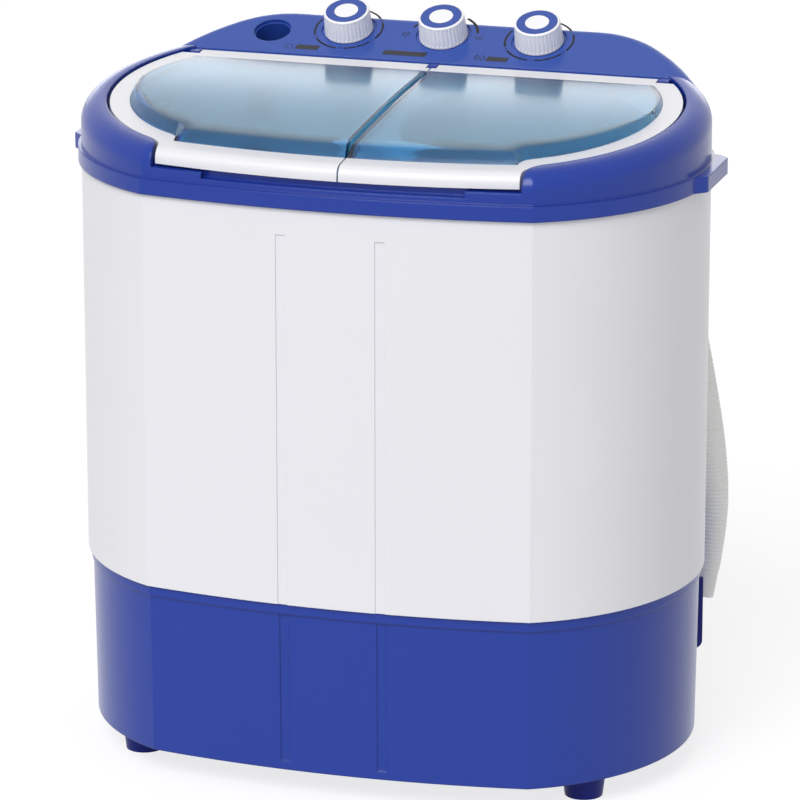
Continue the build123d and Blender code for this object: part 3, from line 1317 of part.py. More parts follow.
def make_drain_pipe():
    """Pipe from the wash tub's floor to the valve's side."""
    corners = [
        (WASH_OUTLET[0], WASH_OUTLET[1], TUB_BOTTOM),
        (WASH_OUTLET[0], WASH_OUTLET[1], WASH_PIPE_Z),
        (VALVE_AXIS[0], VALVE_AXIS[1], WASH_PIPE_Z),
    ]
    bend = (TUB_BOTTOM - WASH_PIPE_Z) * BEND_SHARE * 2
    pipe = tube_along(FilletPolyline(*corners, radius=bend), PIPE_RADIUS, PIPE_RADIUS - PIPE_WALL)
    return pipe - valve_post(VALVE_RADIUS, 0, FAR)


def make_drain_valve():
    """Valve chamber: a side port from the wash tub, a seat, and a guide for the pull rod."""
    inner = VALVE_RADIUS - VALVE_WALL
    seat_low = VALVE_BOTTOM + VALVE_SEAT_RISE - VALVE_SEAT_THICK
    profile = [
        (VALVE_SEAT_RADIUS, VALVE_BOTTOM),
        (VALVE_RADIUS, VALVE_BOTTOM),
        (VALVE_RADIUS, VALVE_TOP),
        (PULL_ROD_RADIUS + RUNNING_GAP, VALVE_TOP),
        (PULL_ROD_RADIUS + RUNNING_GAP, VALVE_TOP - VALVE_WALL),
        (inner, VALVE_TOP - VALVE_WALL),
        (inner, seat_low + VALVE_SEAT_THICK),
        (VALVE_SEAT_RADIUS, seat_low + VALVE_SEAT_THICK),
    ]
    body = turned(VALVE_AXIS, profile)
    neck = valve_post(VALVE_SEAT_RADIUS + VALVE_WALL, MANIFOLD_Z, VALVE_BOTTOM + VALVE_WALL)
    neck -= valve_post(VALVE_SEAT_RADIUS, MANIFOLD_Z, FAR)
    run = Plane(
        origin=(VALVE_AXIS[0], VALVE_AXIS[1], WASH_PIPE_Z),
        z_dir=(WASH_OUTLET[0] - VALVE_AXIS[0], WASH_OUTLET[1] - VALVE_AXIS[1], 0),
    )
    body += neck
    body -= run * extrude(Circle(PIPE_RADIUS - PIPE_WALL), VALVE_RADIUS * 2)
    start = Plane(origin=(OUTLET_X, VALVE_AXIS[1], MANIFOLD_Z), z_dir=(1, 0, 0))
    return body - start * extrude(Circle(PIPE_RADIUS), spin_outlet()[0] - OUTLET_X)


def make_valve_plunger():
    """Rubber-faced plunger that closes on the seat."""
    low = VALVE_BOTTOM + VALVE_SEAT_RISE + FIT_GAP
    plug = valve_post(PLUNGER_RADIUS, low, low + PLUNGER_THICK)
    return plug - valve_post(PULL_ROD_RADIUS + KEYED_GAP, low + PLUNGER_THICK / 2, FAR)


def make_pull_rod():
    """Rod from the plunger up to the selector, with an eye for its strap."""
    low = VALVE_BOTTOM + VALVE_SEAT_RISE + FIT_GAP + PLUNGER_THICK / 2
    rod = valve_post(PULL_ROD_RADIUS, low, PULL_ROD_TOP)
    eye = Plane(
        origin=(VALVE_AXIS[0], VALVE_AXIS[1] - PULL_EYE_THICK / 2, PULL_ROD_TOP), z_dir=(0, 1, 0)
    )
    rod += eye * extrude(Circle(PULL_EYE_RADIUS), PULL_EYE_THICK)
    return rod - eye * extrude(Circle(PULL_ROD_RADIUS), PULL_EYE_THICK)


def make_hose_outlet():
    """Elbow on the back of the base that turns up into the hose."""
    start_y = REAR_Y - BASE_TOP_INSET
    corners = [
        (OUTLET_X, start_y, MANIFOLD_Z),
        (OUTLET_X, HOSE_BACK_Y, MANIFOLD_Z),
        (OUTLET_X, HOSE_BACK_Y, OUTLET_TOP),
    ]
    bore = OUTLET_RADIUS - OUTLET_WALL
    elbow = tube_along(FilletPolyline(*corners, radius=OUTLET_BEND), OUTLET_RADIUS, bore)
    mouth = (OUTLET_X, HOSE_BACK_Y)
    elbow += post(mouth, OUTLET_COLLAR_RADIUS, OUTLET_TOP - OUTLET_COLLAR, OUTLET_TOP)
    elbow += post(mouth, HOSE_BORE_RADIUS - FIT_GAP, OUTLET_TOP - OUTLET_COLLAR, OUTLET_TOP + OUTLET_BARB)
    return elbow - post(mouth, HOSE_BORE_RADIUS - FIT_GAP - OUTLET_WALL, OUTLET_TOP - OUTLET_COLLAR, FAR)


# Drain hose
def hose_path():
    """Straight runs joined by arcs as large as the runs allow."""
    points = [Vector(*place) for place in HOSE_ROUTE]
    bends = []
    for before, here, after in zip(points, points[1:], points[2:]):
        into = here - before
        out = after - here
        turn = radians(into.get_angle(out))
        bends.append(BEND_SHARE * min(into.length, out.length) / tan(turn / 2))
    print("hose bend radii:", [round(bend) for bend in bends])
    return FilletPolyline(*points, radius=bends)


def hose_sections(path, stations):
    """Circles across the hose at (distance, radius) stations, on a steady side axis."""
    circles = []
    for distance, radius in stations:
        place = path.position_at(distance, position_mode=PositionMode.LENGTH)
        heading = path.tangent_at(distance, position_mode=PositionMode.LENGTH)
        circles.append(Plane(origin=place, x_dir=(0, 1, 0), z_dir=heading) * Circle(radius))
    return circles


def make_drain_hose():
    """Ribbed hose with its bore, straight at both ends."""
    path = hose_path()
    cuff = HOSE_CREST_RADIUS * 2
    pitch = (path.length - 2 * cuff) / HOSE_RIBS
    stations = [(0, HOSE_ROOT_RADIUS)]
    for number in range(HOSE_RIBS):
        middle = cuff + pitch * (number + 0.5)
        stations.append((middle - pitch * HOSE_RIB_FOOT, HOSE_ROOT_RADIUS))
        stations.append((middle - pitch * HOSE_RIB_TOP, HOSE_CREST_RADIUS))
        stations.append((middle + pitch * HOSE_RIB_TOP, HOSE_CREST_RADIUS))
        stations.append((middle + pitch * HOSE_RIB_FOOT, HOSE_ROOT_RADIUS))
    stations.append((path.length, HOSE_ROOT_RADIUS))
    skin = loft(hose_sections(path, stations), ruled=True)
    start = Plane(origin=path @ 0, z_dir=path % 0)
    hose = skin - sweep(start * Circle(HOSE_BORE_RADIUS), path=path)
    print("hose length:", round(path.length), "volume:", round(hose.volume))
    return hose


# Small pieces on the back
def make_hose_clip():
    """Saddle clip on the back wall that holds the hose's arch."""
    half = CLIP_WIDTH / 2
    inner = HOSE_CREST_RADIUS + FIT_GAP
    across = Plane(origin=(CLIP_X - half, HOSE_BACK_Y, CLIP_Z), z_dir=(1, 0, 0))
    jaw = across * extrude(Circle(inner + CLIP_JAW) - Circle(inner), CLIP_WIDTH)
    clip = jaw & block(-FAR, FAR, REAR_Y, HOSE_BACK_Y + CLIP_PAST_MIDDLE, 0, FAR)
    low = CLIP_Z - CLIP_PLATE_HALF
    high = CLIP_Z + CLIP_PLATE_HALF
    plate = block(CLIP_X - half, CLIP_X + half, REAR_Y, REAR_Y + CLIP_PLATE, low, high)
    return clip + (plate - across * extrude(Circle(inner), CLIP_WIDTH))


def make_hose_guide():
    """Thin upright fin on the base beside the hose."""
    half = GUIDE_THICK / 2
    root = SIDE_RADIUS - BASE_FOOT_INSET
    tip = SIDE_RADIUS - BASE_TOP_INSET + GUIDE_REACH
    fin = block(root, tip, -half, half, GUIDE_BOTTOM, GUIDE_TOP)
    corner = fin.edges().filter_by(Axis.Y).sort_by(Axis.Z)[:2].sort_by(Axis.X)[-1]
    fin = fillet(corner, GUIDE_REACH / 2)
    fin = Pos(SIDE_CENTRE_X, SIDE_CENTRE_Y) * Rot(0, 0, GUIDE_ANGLE) * fin
    skin = tapered(outline(-BASE_FOOT_INSET), FOOT_HEIGHT, outline(-BASE_TOP_INSET), BASE_BAND_BOTTOM)
    return fin - skin


def make_cable_gland():
    """Blank cable gland in the back of the base."""
    wall_y = REAR_Y - BASE_TOP_INSET
    gland = rear_bar(GLAND_X, GLAND_Z, GLAND_RADIUS, wall_y - BASE_BAND, wall_y + GLAND_HEAD)
    gland += rear_bar(GLAND_X, GLAND_Z, GLAND_HEAD_RADIUS, wall_y, wall_y + GLAND_HEAD)
    return gland - rear_bar(GLAND_X, GLAND_Z, GLAND_BORE, 0, FAR)


def make_rear_cover():
    """Screwed service cover on the back with two groups of vent slots."""
    width = 2 * (REAR_HALF_WIDTH + REAR_LAP)
    height = REAR_HIGH - REAR_LOW + 2 * REAR_LAP
    face = Plane(origin=(0, REAR_Y, (REAR_LOW + REAR_HIGH) / 2), x_dir=(-1, 0, 0), z_dir=(0, 1, 0))
    plate = face * extrude(RectangleRounded(width, height, REAR_CORNER), REAR_PLATE)
    for side in (-1, 1):
        for number in range(REAR_SLOTS):
            z = REAR_SLOT_LOW + REAR_SLOT_PITCH * number
            middle = side * REAR_HALF_WIDTH / 2
            slot = Plane(origin=(middle, REAR_Y, z), z_dir=(0, 1, 0), x_dir=(1, 0, 0))
            plate -= slot * extrude(SlotOverall(REAR_SLOT_LENGTH, REAR_SLOT_WIDTH), REAR_PLATE)
    for x, z in rear_screw_places():
        plate -= rear_bar(x, z, SCREW_SHANK_RADIUS + RUNNING_GAP, REAR_Y, REAR_Y + REAR_PLATE)
    return plate


def make_cover_screws():
    """Pan-head screws of the rear cover."""
    screws = []
    seat = REAR_Y + REAR_PLATE
    for x, z in rear_screw_places():
        shank = rear_bar(x, z, SCREW_SHANK_RADIUS, seat - SCREW_GRIP, seat)
        screws.append(shank + rear_bar(x, z, SCREW_HEAD_RADIUS, seat, seat + SCREW_HEAD))
    return Compound(children=screws)


KNOBS = dict(zip(("wash_timer", "drain_selector", "spin_timer"), KNOB_X))
LIDS = {"wash_lid": -1, "spin_lid": 1}


def all_pieces():
    """Every piece of the machine by its name."""
    pieces = {
        "cabinet": make_cabinet(),
        "base": make_base(),
        "feet": make_feet(),
        "top_frame": make_top_frame(),
        "control_panel": make_control_panel(),
        "water_inlet": make_water_inlet(),
        "water_chute": make_water_chute(),
        "hinge_rod": make_hinge_rod(),
        "wash_tub": make_wash_tub(),
        "lint_filter": make_lint_filter(),
        "bearing_housing": make_bearing_housing(),
        "pulsator": make_pulsator(),
        "pulsator_shaft": make_pulsator_shaft(),
        "wash_pulley": make_wash_pulley(),
        "motor_pulley": make_motor_pulley(),
        "motor_shaft": make_motor_shaft(),
        "drive_belt": make_drive_belt(),
        "wash_motor": make_wash_motor(),
        "capacitor": make_capacitor(),
        "spin_tub": make_spin_tub(),
        "spin_basket": make_spin_basket(),
        "press_plate": make_press_plate(),
        "spin_shaft": make_spin_shaft(),
        "spin_seal": make_spin_seal(),
        "spin_motor": make_spin_motor(),
        "spin_mounts": make_spin_mounts(),
        "brake_drum": make_brake_drum(),
        "brake_lever": make_brake_lever(),
        "drain_manifold": make_drain_manifold(),
        "drain_pipe": make_drain_pipe(),
        "drain_valve": make_drain_valve(),
        "valve_plunger": make_valve_plunger(),
        "pull_rod": make_pull_rod(),
        "hose_outlet": make_hose_outlet(),
        "drain_hose": make_drain_hose(),
        "hose_clip": make_hose_clip(),
        "hose_guide": make_hose_guide(),
        "cable_gland": make_cable_gland(),
        "rear_cover": make_rear_cover(),
        "cover_screws": make_cover_screws(),
    }
    for name, side in LIDS.items():
        pieces[name + "_frame"] = make_lid_frame(side)
        pieces[name + "_window"] = make_lid_window(side)
    for name, x in KNOBS.items():
        pieces[name + "_knob"] = make_knob(x)
        pieces[name + "_ring"] = make_knob_ring(x)
        pieces[name + "_spindle"] = make_spindle(x)
        pieces[name + "_body"] = make_switch_body(x)
    return pieces


os.makedirs("parts", exist_ok=True)
for node, solid in all_pieces().items():
    export_step(solid, "parts/" + node + ".step")
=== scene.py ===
# %% [markdown]
# # A small twin-tub washing machine
# The machine has a wash tub on the left and a spin dryer on the right, under two flap lids with
# see-through windows. The rigid pieces come as a fixed frame of solids, already in place and in metres.
# This lesson gives each of them its finish, and makes what the solids leave out: the crown of the
# windows, the fine ribs of the hose, the prints on the console and the screws' recesses.

# %% Load the frame
import json
from math import atan2, ceil, cos, pi, radians, sin, tan

import bmesh
import bpy
from mathutils import Matrix, Vector
from mathutils.geometry import delaunay_2d_cdt


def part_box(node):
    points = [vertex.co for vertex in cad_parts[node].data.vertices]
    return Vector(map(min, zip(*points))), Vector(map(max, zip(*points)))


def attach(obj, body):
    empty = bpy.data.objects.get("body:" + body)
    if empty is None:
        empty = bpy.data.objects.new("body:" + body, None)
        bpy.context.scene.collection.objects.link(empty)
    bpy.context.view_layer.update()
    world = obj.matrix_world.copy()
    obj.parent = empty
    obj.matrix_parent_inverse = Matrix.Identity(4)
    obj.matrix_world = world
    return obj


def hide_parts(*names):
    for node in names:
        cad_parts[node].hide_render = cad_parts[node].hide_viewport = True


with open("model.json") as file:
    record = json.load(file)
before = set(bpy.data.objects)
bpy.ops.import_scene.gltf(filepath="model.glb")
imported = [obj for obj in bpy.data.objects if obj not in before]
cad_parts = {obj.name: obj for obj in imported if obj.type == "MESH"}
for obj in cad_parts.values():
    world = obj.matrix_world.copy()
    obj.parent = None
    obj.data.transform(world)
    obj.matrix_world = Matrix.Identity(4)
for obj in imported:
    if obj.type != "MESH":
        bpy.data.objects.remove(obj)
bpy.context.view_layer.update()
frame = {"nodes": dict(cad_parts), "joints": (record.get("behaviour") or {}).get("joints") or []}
nodes = frame["nodes"]
joints = {joint["name"]: joint for joint in frame["joints"]}
MM = 0.001

# %% [markdown]
# ## Camera
# The picture was taken from the front right and a little above, from far away with a long lens, so
# upright edges stay almost upright. The camera is set by its turn, its rise and its distance from a point
# in the middle of the machine, because these are easy to read and to change. A lens is given as a share
# of the sensor's width, so the same view comes out at any picture size.

# %% Camera
CAMERA_TURN = radians(17.03)
CAMERA_RISE = radians(16.14)
CAMERA_DISTANCE = 4.506
CAMERA_TARGET = Vector((3.9, 1.2, 319.2)) * MM
FOCAL_SHARE = 6.211

towards_camera = Vector(
    (sin(CAMERA_TURN) * cos(CAMERA_RISE), -cos(CAMERA_TURN) * cos(CAMERA_RISE), sin(CAMERA_RISE))
)
lens = bpy.data.cameras.new("camera")
lens.lens = lens.sensor_width * FOCAL_SHARE
lens.clip_end = 100.0
camera = bpy.data.objects.new("camera", lens)
camera.location = CAMERA_TARGET + towards_camera * CAMERA_DISTANCE
camera.rotation_euler = towards_camera.to_track_quat("Z", "Y").to_euler()
bpy.context.scene.collection.objects.link(camera)
bpy.context.scene.camera = camera
print("lens", round(lens.lens, 1), "mm")

# %% [markdown]
# ## Small helpers for node trees
# Materials and Geometry Nodes are both trees of nodes joined by links. Writing each node in one line
# keeps the trees readable: the helper makes a node, sets its options, and joins or fills its inputs.

# %% Node helpers
def add(tree, kind, feeds=(), **options):
    """One node: options are its settings, feeds its inputs, each a value or another node's output."""
    made = tree.nodes.new(kind)
    for option, value in options.items():
        setattr(made, option, value)
    for socket, value in dict(feeds).items():
        if isinstance(value, bpy.types.NodeSocket):
            tree.links.new(value, made.inputs[socket])
        else:
            made.inputs[socket].default_value = value
    return made


def sums(tree, operation, first, second=0.0):
    """Output of one step of arithmetic."""
    return add(tree, "ShaderNodeMath", {0: first, 1: second}, operation=operation).outputs[0]


def linked(name, mesh):
    """A new object for a mesh, in the scene."""
    made = bpy.data.objects.new(name, mesh)
    bpy.context.scene.collection.objects.link(made)
    return made


# %% [markdown]
# ## Moulded plastic
# The cabinet, lids, top and base are injection mouldings. A moulding's colour is almost even, but its
# gloss changes slightly where the tool was polished, and a very fine orange-peel catches the light. Sharp
# edges are never quite sharp, so the normals are rounded over a short distance. A plain colour would look
# like paper. Each blue or white here is the same recipe with its own colour and gloss.

# %% Moulded plastic
BROAD_NOISE = 9.0
FINE_NOISE = 650.0
PEEL_DEPTH = 0.2 * MM
GLOSS_DRIFT = 0.15


def blank_material(name):
    """A material with only its output, and the tree to fill."""
    material = bpy.data.materials.new(name)
    material.use_nodes = True
    tree = material.node_tree
    tree.nodes.clear()
    return material, tree, add(tree, "ShaderNodeOutputMaterial")


def shade(colour, share):
    """A colour made darker or lighter by a share, with full cover."""
    return (*(min(1.0, part * share) for part in colour), 1.0)


def toned(tree, share, colour, dark, light):
    """Output between a darker and a lighter shade of a colour."""
    feeds = {0: share, 6: shade(colour, dark), 7: shade(colour, light)}
    return add(tree, "ShaderNodeMix", feeds, data_type="RGBA").outputs[2]


def varied(tree, share, gloss, drift):
    """Output between a glossier and a duller roughness."""
    feeds = {0: share, 3: gloss * (1 - drift), 4: gloss * (1 + drift)}
    return add(tree, "ShaderNodeMapRange", feeds).outputs[0]


def moulded(name, colour, gloss=0.3, peel=0.05, drift=0.05, edge=1.2, **sockets):
    """Injection-moulded plastic: slow drift of colour and gloss, fine orange-peel and rounded edges."""
    material, tree, output = blank_material(name)
    place = add(tree, "ShaderNodeTexCoord").outputs["Object"]
    broad = add(tree, "ShaderNodeTexNoise", {"Vector": place, "Scale": BROAD_NOISE, "Detail": 3.0}).outputs[0]
    fine = add(tree, "ShaderNodeTexNoise", {"Vector": place, "Scale": FINE_NOISE, "Detail": 2.0}).outputs[0]
    tone = toned(tree, broad, colour, 1 - drift, 1 + drift)
    rough = varied(tree, broad, gloss, GLOSS_DRIFT)
    round_edge = add(tree, "ShaderNodeBevel", {"Radius": edge * MM}, samples=4).outputs[0]
    bump = add(tree, "ShaderNodeBump", {"Strength": peel, "Distance": PEEL_DEPTH, "Height": fine})
    tree.links.new(round_edge, bump.inputs["Normal"])
    feeds = {"Base Color": tone, "Roughness": rough, "Normal": bump.outputs[0], **sockets}
    shader = add(tree, "ShaderNodeBsdfPrincipled", feeds)
    tree.links.new(shader.outputs[0], output.inputs["Surface"])
    return material


WHITE = (0.82, 0.82, 0.86)
# The knobs' white is lighter than the cabinet's: painted light against the shade on their fluted sides.
KNOB_WHITE_PAINTED_LIGHT = (0.95, 0.95, 0.97)
BLUE = (0.008, 0.040, 0.335)
PANEL_BLUE = (0.023, 0.074, 0.380)
FOOT_BLUE = (0.006, 0.014, 0.190)
TUB_WHITE = (0.70, 0.73, 0.75)
BLACK = (0.012, 0.012, 0.013)
RUBBER = (0.010, 0.010, 0.010)
SOFT_SHINE = {"Specular IOR Level": 0.38}
DULL = {"Specular IOR Level": 0.2}
finishes = {
    "white_plastic": moulded("white_moulding", WHITE, gloss=0.34, drift=0.015, edge=0.6),
    # Knob finish: a lighter copy of the white, as painted light that offsets the shade in the flutes.
    "knob_plastic_painted_light": moulded("knob_white_painted_light", KNOB_WHITE_PAINTED_LIGHT, gloss=0.34, drift=0.01, edge=0.4),
    "blue_plastic": moulded("blue_moulding", BLUE, gloss=0.22, edge=2.4, **SOFT_SHINE),
    "panel_plastic": moulded("console_blue", PANEL_BLUE, gloss=0.2, **SOFT_SHINE),
    "foot_plastic": moulded("foot_blue", FOOT_BLUE, gloss=0.4, **DULL),
    "tub_plastic": moulded("tub_white", TUB_WHITE, gloss=0.35, drift=0.03),
    "black_plastic": moulded("black_moulding", BLACK, gloss=0.45, peel=0.2),
    "rubber": moulded("rubber_black", RUBBER, gloss=0.75, peel=0.4, drift=0.2),
}
print(len(finishes), "mouldings")

# %% [markdown]
# ## Hose plastic
# The drain hose is thin, milky polythene. Light goes a little way into it, so a share of subsurface
# scattering softens its ribs, and its gloss is low. It shares the recipe of the other mouldings.

# %% Hose plastic
HOSE_WHITE = (0.98, 0.97, 0.94)
MILKY = {"Subsurface Weight": 0.1, "Subsurface Scale": 2.0 * MM}
finishes["hose_plastic"] = moulded("hose_milky", HOSE_WHITE, gloss=0.5, drift=0.03, **MILKY)
print("hose finish:", finishes["hose_plastic"].name)

# %% [markdown]
# ## Tinted windows
# The windows are clear blue-green plastic. Tint belongs in the body of the plastic, not on its skin: the
# longer the way through, the deeper the colour, which is why the thick edges look darker than the
# field. So the surface is clear and softly polished, and a volume inside takes the red out.

# %% Tinted windows
WINDOW_TINT = (0.0, 0.66, 0.88)
TINT_DEPTH = 255.0
CLEAR = {"Base Color": (1, 1, 1, 1), "Roughness": 0.16, "IOR": 1.5, "Transmission Weight": 1.0}


def tinted_clear(name, tint, depth):
    """Clear polished plastic, with its colour in the volume."""
    material, tree, output = blank_material(name)
    shader = add(tree, "ShaderNodeBsdfPrincipled", CLEAR)
    body = add(tree, "ShaderNodeVolumeAbsorption", {"Color": (*tint, 1.0), "Density": depth})
    tree.links.new(shader.outputs[0], output.inputs["Surface"])
    tree.links.new(body.outputs[0], output.inputs["Volume"])
    return material


finishes["tinted_window"] = tinted_clear("window_tint", WINDOW_TINT, TINT_DEPTH)
print("window finish:", finishes["tinted_window"].name)

# %% [markdown]
# ## Metals
# Shafts, rods and screws are bright drawn steel, with fine lines along the way they were drawn. The
# motors and their small pulley are cast, so their skin is grainy. Both are one recipe: a metal whose
# noise is stretched for drawn bar and even for a casting.

# %% Metals
STEEL = (0.62, 0.62, 0.63)
CAST = (0.45, 0.46, 0.47)
DRAWN = (1, 1, 0.05)
EVEN = (1, 1, 1)
DARK_GRAIN = 0.85
LIGHT_GRAIN = 1.1
GRAIN_DRIFT = 0.3


def metal(name, colour, gloss, stretch, grain, depth):
    """Bare metal with its grain stretched along each axis."""
    material, tree, output = blank_material(name)
    place = add(tree, "ShaderNodeTexCoord").outputs["Object"]
    along = add(tree, "ShaderNodeMapping", {"Vector": place, "Scale": stretch}).outputs[0]
    grains = add(tree, "ShaderNodeTexNoise", {"Vector": along, "Scale": grain, "Detail": 4.0}).outputs[0]
    tone = toned(tree, grains, colour, DARK_GRAIN, LIGHT_GRAIN)
    rough = varied(tree, grains, gloss, GRAIN_DRIFT)
    bump = add(tree, "ShaderNodeBump", {"Strength": depth, "Distance": PEEL_DEPTH, "Height": grains})
    feeds = {"Base Color": tone, "Roughness": rough, "Normal": bump.outputs[0], "Metallic": 1.0}
    shader = add(tree, "ShaderNodeBsdfPrincipled", feeds)
    tree.links.new(shader.outputs[0], output.inputs["Surface"])
    return material


finishes["steel"] = metal("drawn_steel", STEEL, gloss=0.2, stretch=DRAWN, grain=900.0, depth=0.1)
finishes["motor_casting"] = metal("cast_aluminium", CAST, gloss=0.5, stretch=EVEN, grain=500.0, depth=0.5)

print("metals:", finishes["steel"].name, finishes["motor_casting"].name)

# %% [markdown]
# ## Finish of each piece
# Each node of the frame names its material, so its finish is found by that name. Only the knobs differ:
# their white is lighter than the cabinet's, as painted light against the shade on their fluted sides, so
# they have a finish of their own.

# %% Finish of each piece
for name, node in nodes.items():
    slot = node.data.materials[0].name.split(".")[0]
    node.data.materials[0] = finishes["knob_plastic_painted_light" if name.endswith("_knob") else slot]
print("finished", len(nodes), "nodes in", len(finishes), "finishes")

# %% [markdown]
# ## White bed under the lids
# Through the windows the bed under the lids and the walls down into the tubs look pale, while the top
# round them is blue. Such a top is moulded in two shots, so it stays one piece with two colours. The
# border follows the lids: it is a plan radius, a rear limit and the bed's own slope, all worked out from
# the place of each point.

# %% Two-shot moulding of the top
BED_RADIUS = 172.0
BED_CENTRE = (87.6, -2.0)
BED_REAR = 92.0
BED_LEVEL = 585.9
LID_SLOPE = tan(radians(5.8))


def on_bed(tree):
    """Output that is 1 on the bed under the lids and in the wells, and 0 on the rest of the top."""
    place = add(tree, "ShaderNodeTexCoord").outputs["Object"]
    x, y, z = add(tree, "ShaderNodeSeparateXYZ", {0: place}).outputs
    aside = sums(tree, "SUBTRACT", sums(tree, "ABSOLUTE", x), BED_CENTRE[0] * MM)
    aside = sums(tree, "MAXIMUM", aside, 0.0)
    ahead = sums(tree, "SUBTRACT", y, BED_CENTRE[1] * MM)
    reach = sums(tree, "ADD", sums(tree, "POWER", aside, 2.0), sums(tree, "MULTIPLY", ahead, ahead))
    near = sums(tree, "LESS_THAN", reach, (BED_RADIUS * MM) ** 2)
    low = sums(tree, "SUBTRACT", z, sums(tree, "MULTIPLY", y, LID_SLOPE))
    low = sums(tree, "LESS_THAN", low, BED_LEVEL * MM)
    front = sums(tree, "LESS_THAN", y, BED_REAR * MM)
    return sums(tree, "MULTIPLY", sums(tree, "MULTIPLY", near, low), front)


two_shot = moulded("blue_and_white_moulding", BLUE, gloss=0.22, edge=2.4, **SOFT_SHINE)
tree = two_shot.node_tree
skin = next(made for made in tree.nodes if made.bl_idname == "ShaderNodeBsdfPrincipled").inputs["Base Color"]
feeds = {0: on_bed(tree), 6: skin.links[0].from_socket, 7: (*WHITE, 1.0)}
tree.links.new(add(tree, "ShaderNodeMix", feeds, data_type="RGBA").outputs[2], skin)
nodes["top_frame"].data.materials[0] = two_shot
print("two-shot finish:", two_shot.name)

# %% [markdown]
# ## Crowned windows
# The frame's windows are sheets let in flush. The real ones are clear mouldings: the field stands proud,
# is crowned from back to front, and rolls down to the lid, steepest at the front, where the plastic is
# thick and so looks dark. A flat sheet could be inset from one face, but a crown needs points inside too.
# So the outline of the frame's window is triangulated with rings along its edge and a grid of points.
# Each point gets an upper and a lower height from its distance to the edge, and a rim under the lid joins
# the two skins.

# %% Outline of a window
LID_LEVEL = 599.23 * MM
WINDOW_THICK = 3.0 * MM
WINDOW_RIM = 3.0 * MM
SIDE_ROLL = 2.5 * MM
FRONT_ROLL = 12.0 * MM
REAR_RISE = 1.0 * MM
REAR_PITCH = tan(radians(1.5))
FRONT_PITCH = tan(radians(6.5))
ROLL_STEPS = (0.2, 0.4, 0.6, 0.8, 1.0, 1.5, 2.0)
LOWER_START = 0.3
SHARP_EDGE = radians(35)
MITRE_TURN = 0.2
ON_RING = 0.97
FIELD_GAP = 0.3
GRID_STEP = 12.0 * MM
EDGE_STEP = 6.0 * MM
NEAR = 0.1 * MM


def lid_level(y):
    """Height of the lid's top."""
    return LID_LEVEL + y * LID_SLOPE


def window_ring(node, middle):
    """Points along a window's upright edge in plan, in order round a middle point."""
    levels = ({}, {})
    for corner in node.data.vertices:
        x, y, z = corner.co
        depth = lid_level(y) - z
        for found, wanted in zip(levels, (0.0, WINDOW_THICK)):
            if abs(depth - wanted) < NEAR:
                found[round(x, 4), round(y, 4)] = (x, y)
    ring = [Vector(levels[0][place]) for place in levels[0] if place in levels[1]]
    ring.sort(key=lambda corner: atan2(corner.y - middle.y, corner.x - middle.x))
    finer = []
    for near, far in zip(ring, ring[1:] + ring[:1]):
        parts = ceil((far - near).length / EDGE_STEP)
        finer += [near.lerp(far, part / parts) for part in range(parts)]
    return finer


def ways_out(ring):
    """The outward direction in plan of each edge of a ring, from one corner to the next."""
    sides = [(far - near).normalized() for near, far in zip(ring, ring[1:] + ring[:1])]
    return [Vector((side.y, -side.x)) for side in sides]


def roll_width(out):
    """Width of the rolled edge: narrow at the back and the sides, and growing towards the front."""
    return SIDE_ROLL + (FRONT_ROLL - SIDE_ROLL) * max(0.0, -out.y)


def moved_out(ring, reach):
    """The ring with each edge moved outwards by its own reach, and the corners mitred."""
    outs, moved = ways_out(ring), []
    for corner, one, two in zip(ring, outs[-1:] + outs[:-1], outs):
        far, further, turn = reach(one), reach(two), one.cross(two)
        shift = (one * far + two * further) / 2
        if abs(turn) > MITRE_TURN:
            shift = Vector((far * two.y - further * one.y, further * one.x - far * two.x)) / turn
        moved.append(corner + shift)
    return moved


def inside(ring, place):
    """Whether a place in plan lies inside a ring, by counting the edges to its right."""
    count = 0
    for near, far in zip(ring, ring[1:] + ring[:1]):
        if (near.y > place.y) != (far.y > place.y):
            share = (place.y - near.y) / (far.y - near.y)
            count += near.x + share * (far.x - near.x) > place.x
    return count % 2 == 1


def rolls_from_edge(ring, place):
    """Distance from a place to the nearest edge of a ring, as a multiple of that edge's rolled width."""
    found = []
    for near, far, out in zip(ring, ring[1:] + ring[:1], ways_out(ring)):
        along = far - near
        share = min(1.0, max(0.0, (place - near).dot(along) / along.length_squared))
        found.append((place - near - along * share).length / roll_width(out))
    return min(found)


# %% Skins of a window
def crown_rise(y, rear, front):
    """Rise of the field above the lid: its pitch grows evenly from the rear edge to the front."""
    back = rear - y
    drop = back * REAR_PITCH + back * back * (FRONT_PITCH - REAR_PITCH) / (2 * (rear - front))
    return lid_level(rear) + REAR_RISE - drop - lid_level(y)


def smooth(share):
    """A share from 0 to 1 that starts and ends gently."""
    share = min(1.0, max(0.0, share))
    return share * share * (3 - 2 * share)


def window_heights(ring, place):
    """Upper and lower height of the moulding: the upper skin rolls over, the lower one follows further in."""
    rear, front = (pick(corner.y for corner in ring) for pick in (max, min))
    share = rolls_from_edge(ring, place)
    rise = crown_rise(place.y, rear, front)
    upper = rise * sin(pi / 2 * min(1.0, share))
    inner = smooth((share - LOWER_START) / (ROLL_STEPS[-1] - LOWER_START))
    lower = rise * inner - WINDOW_THICK * (2 - inner)
    return lid_level(place.y) + upper, lid_level(place.y) + lower


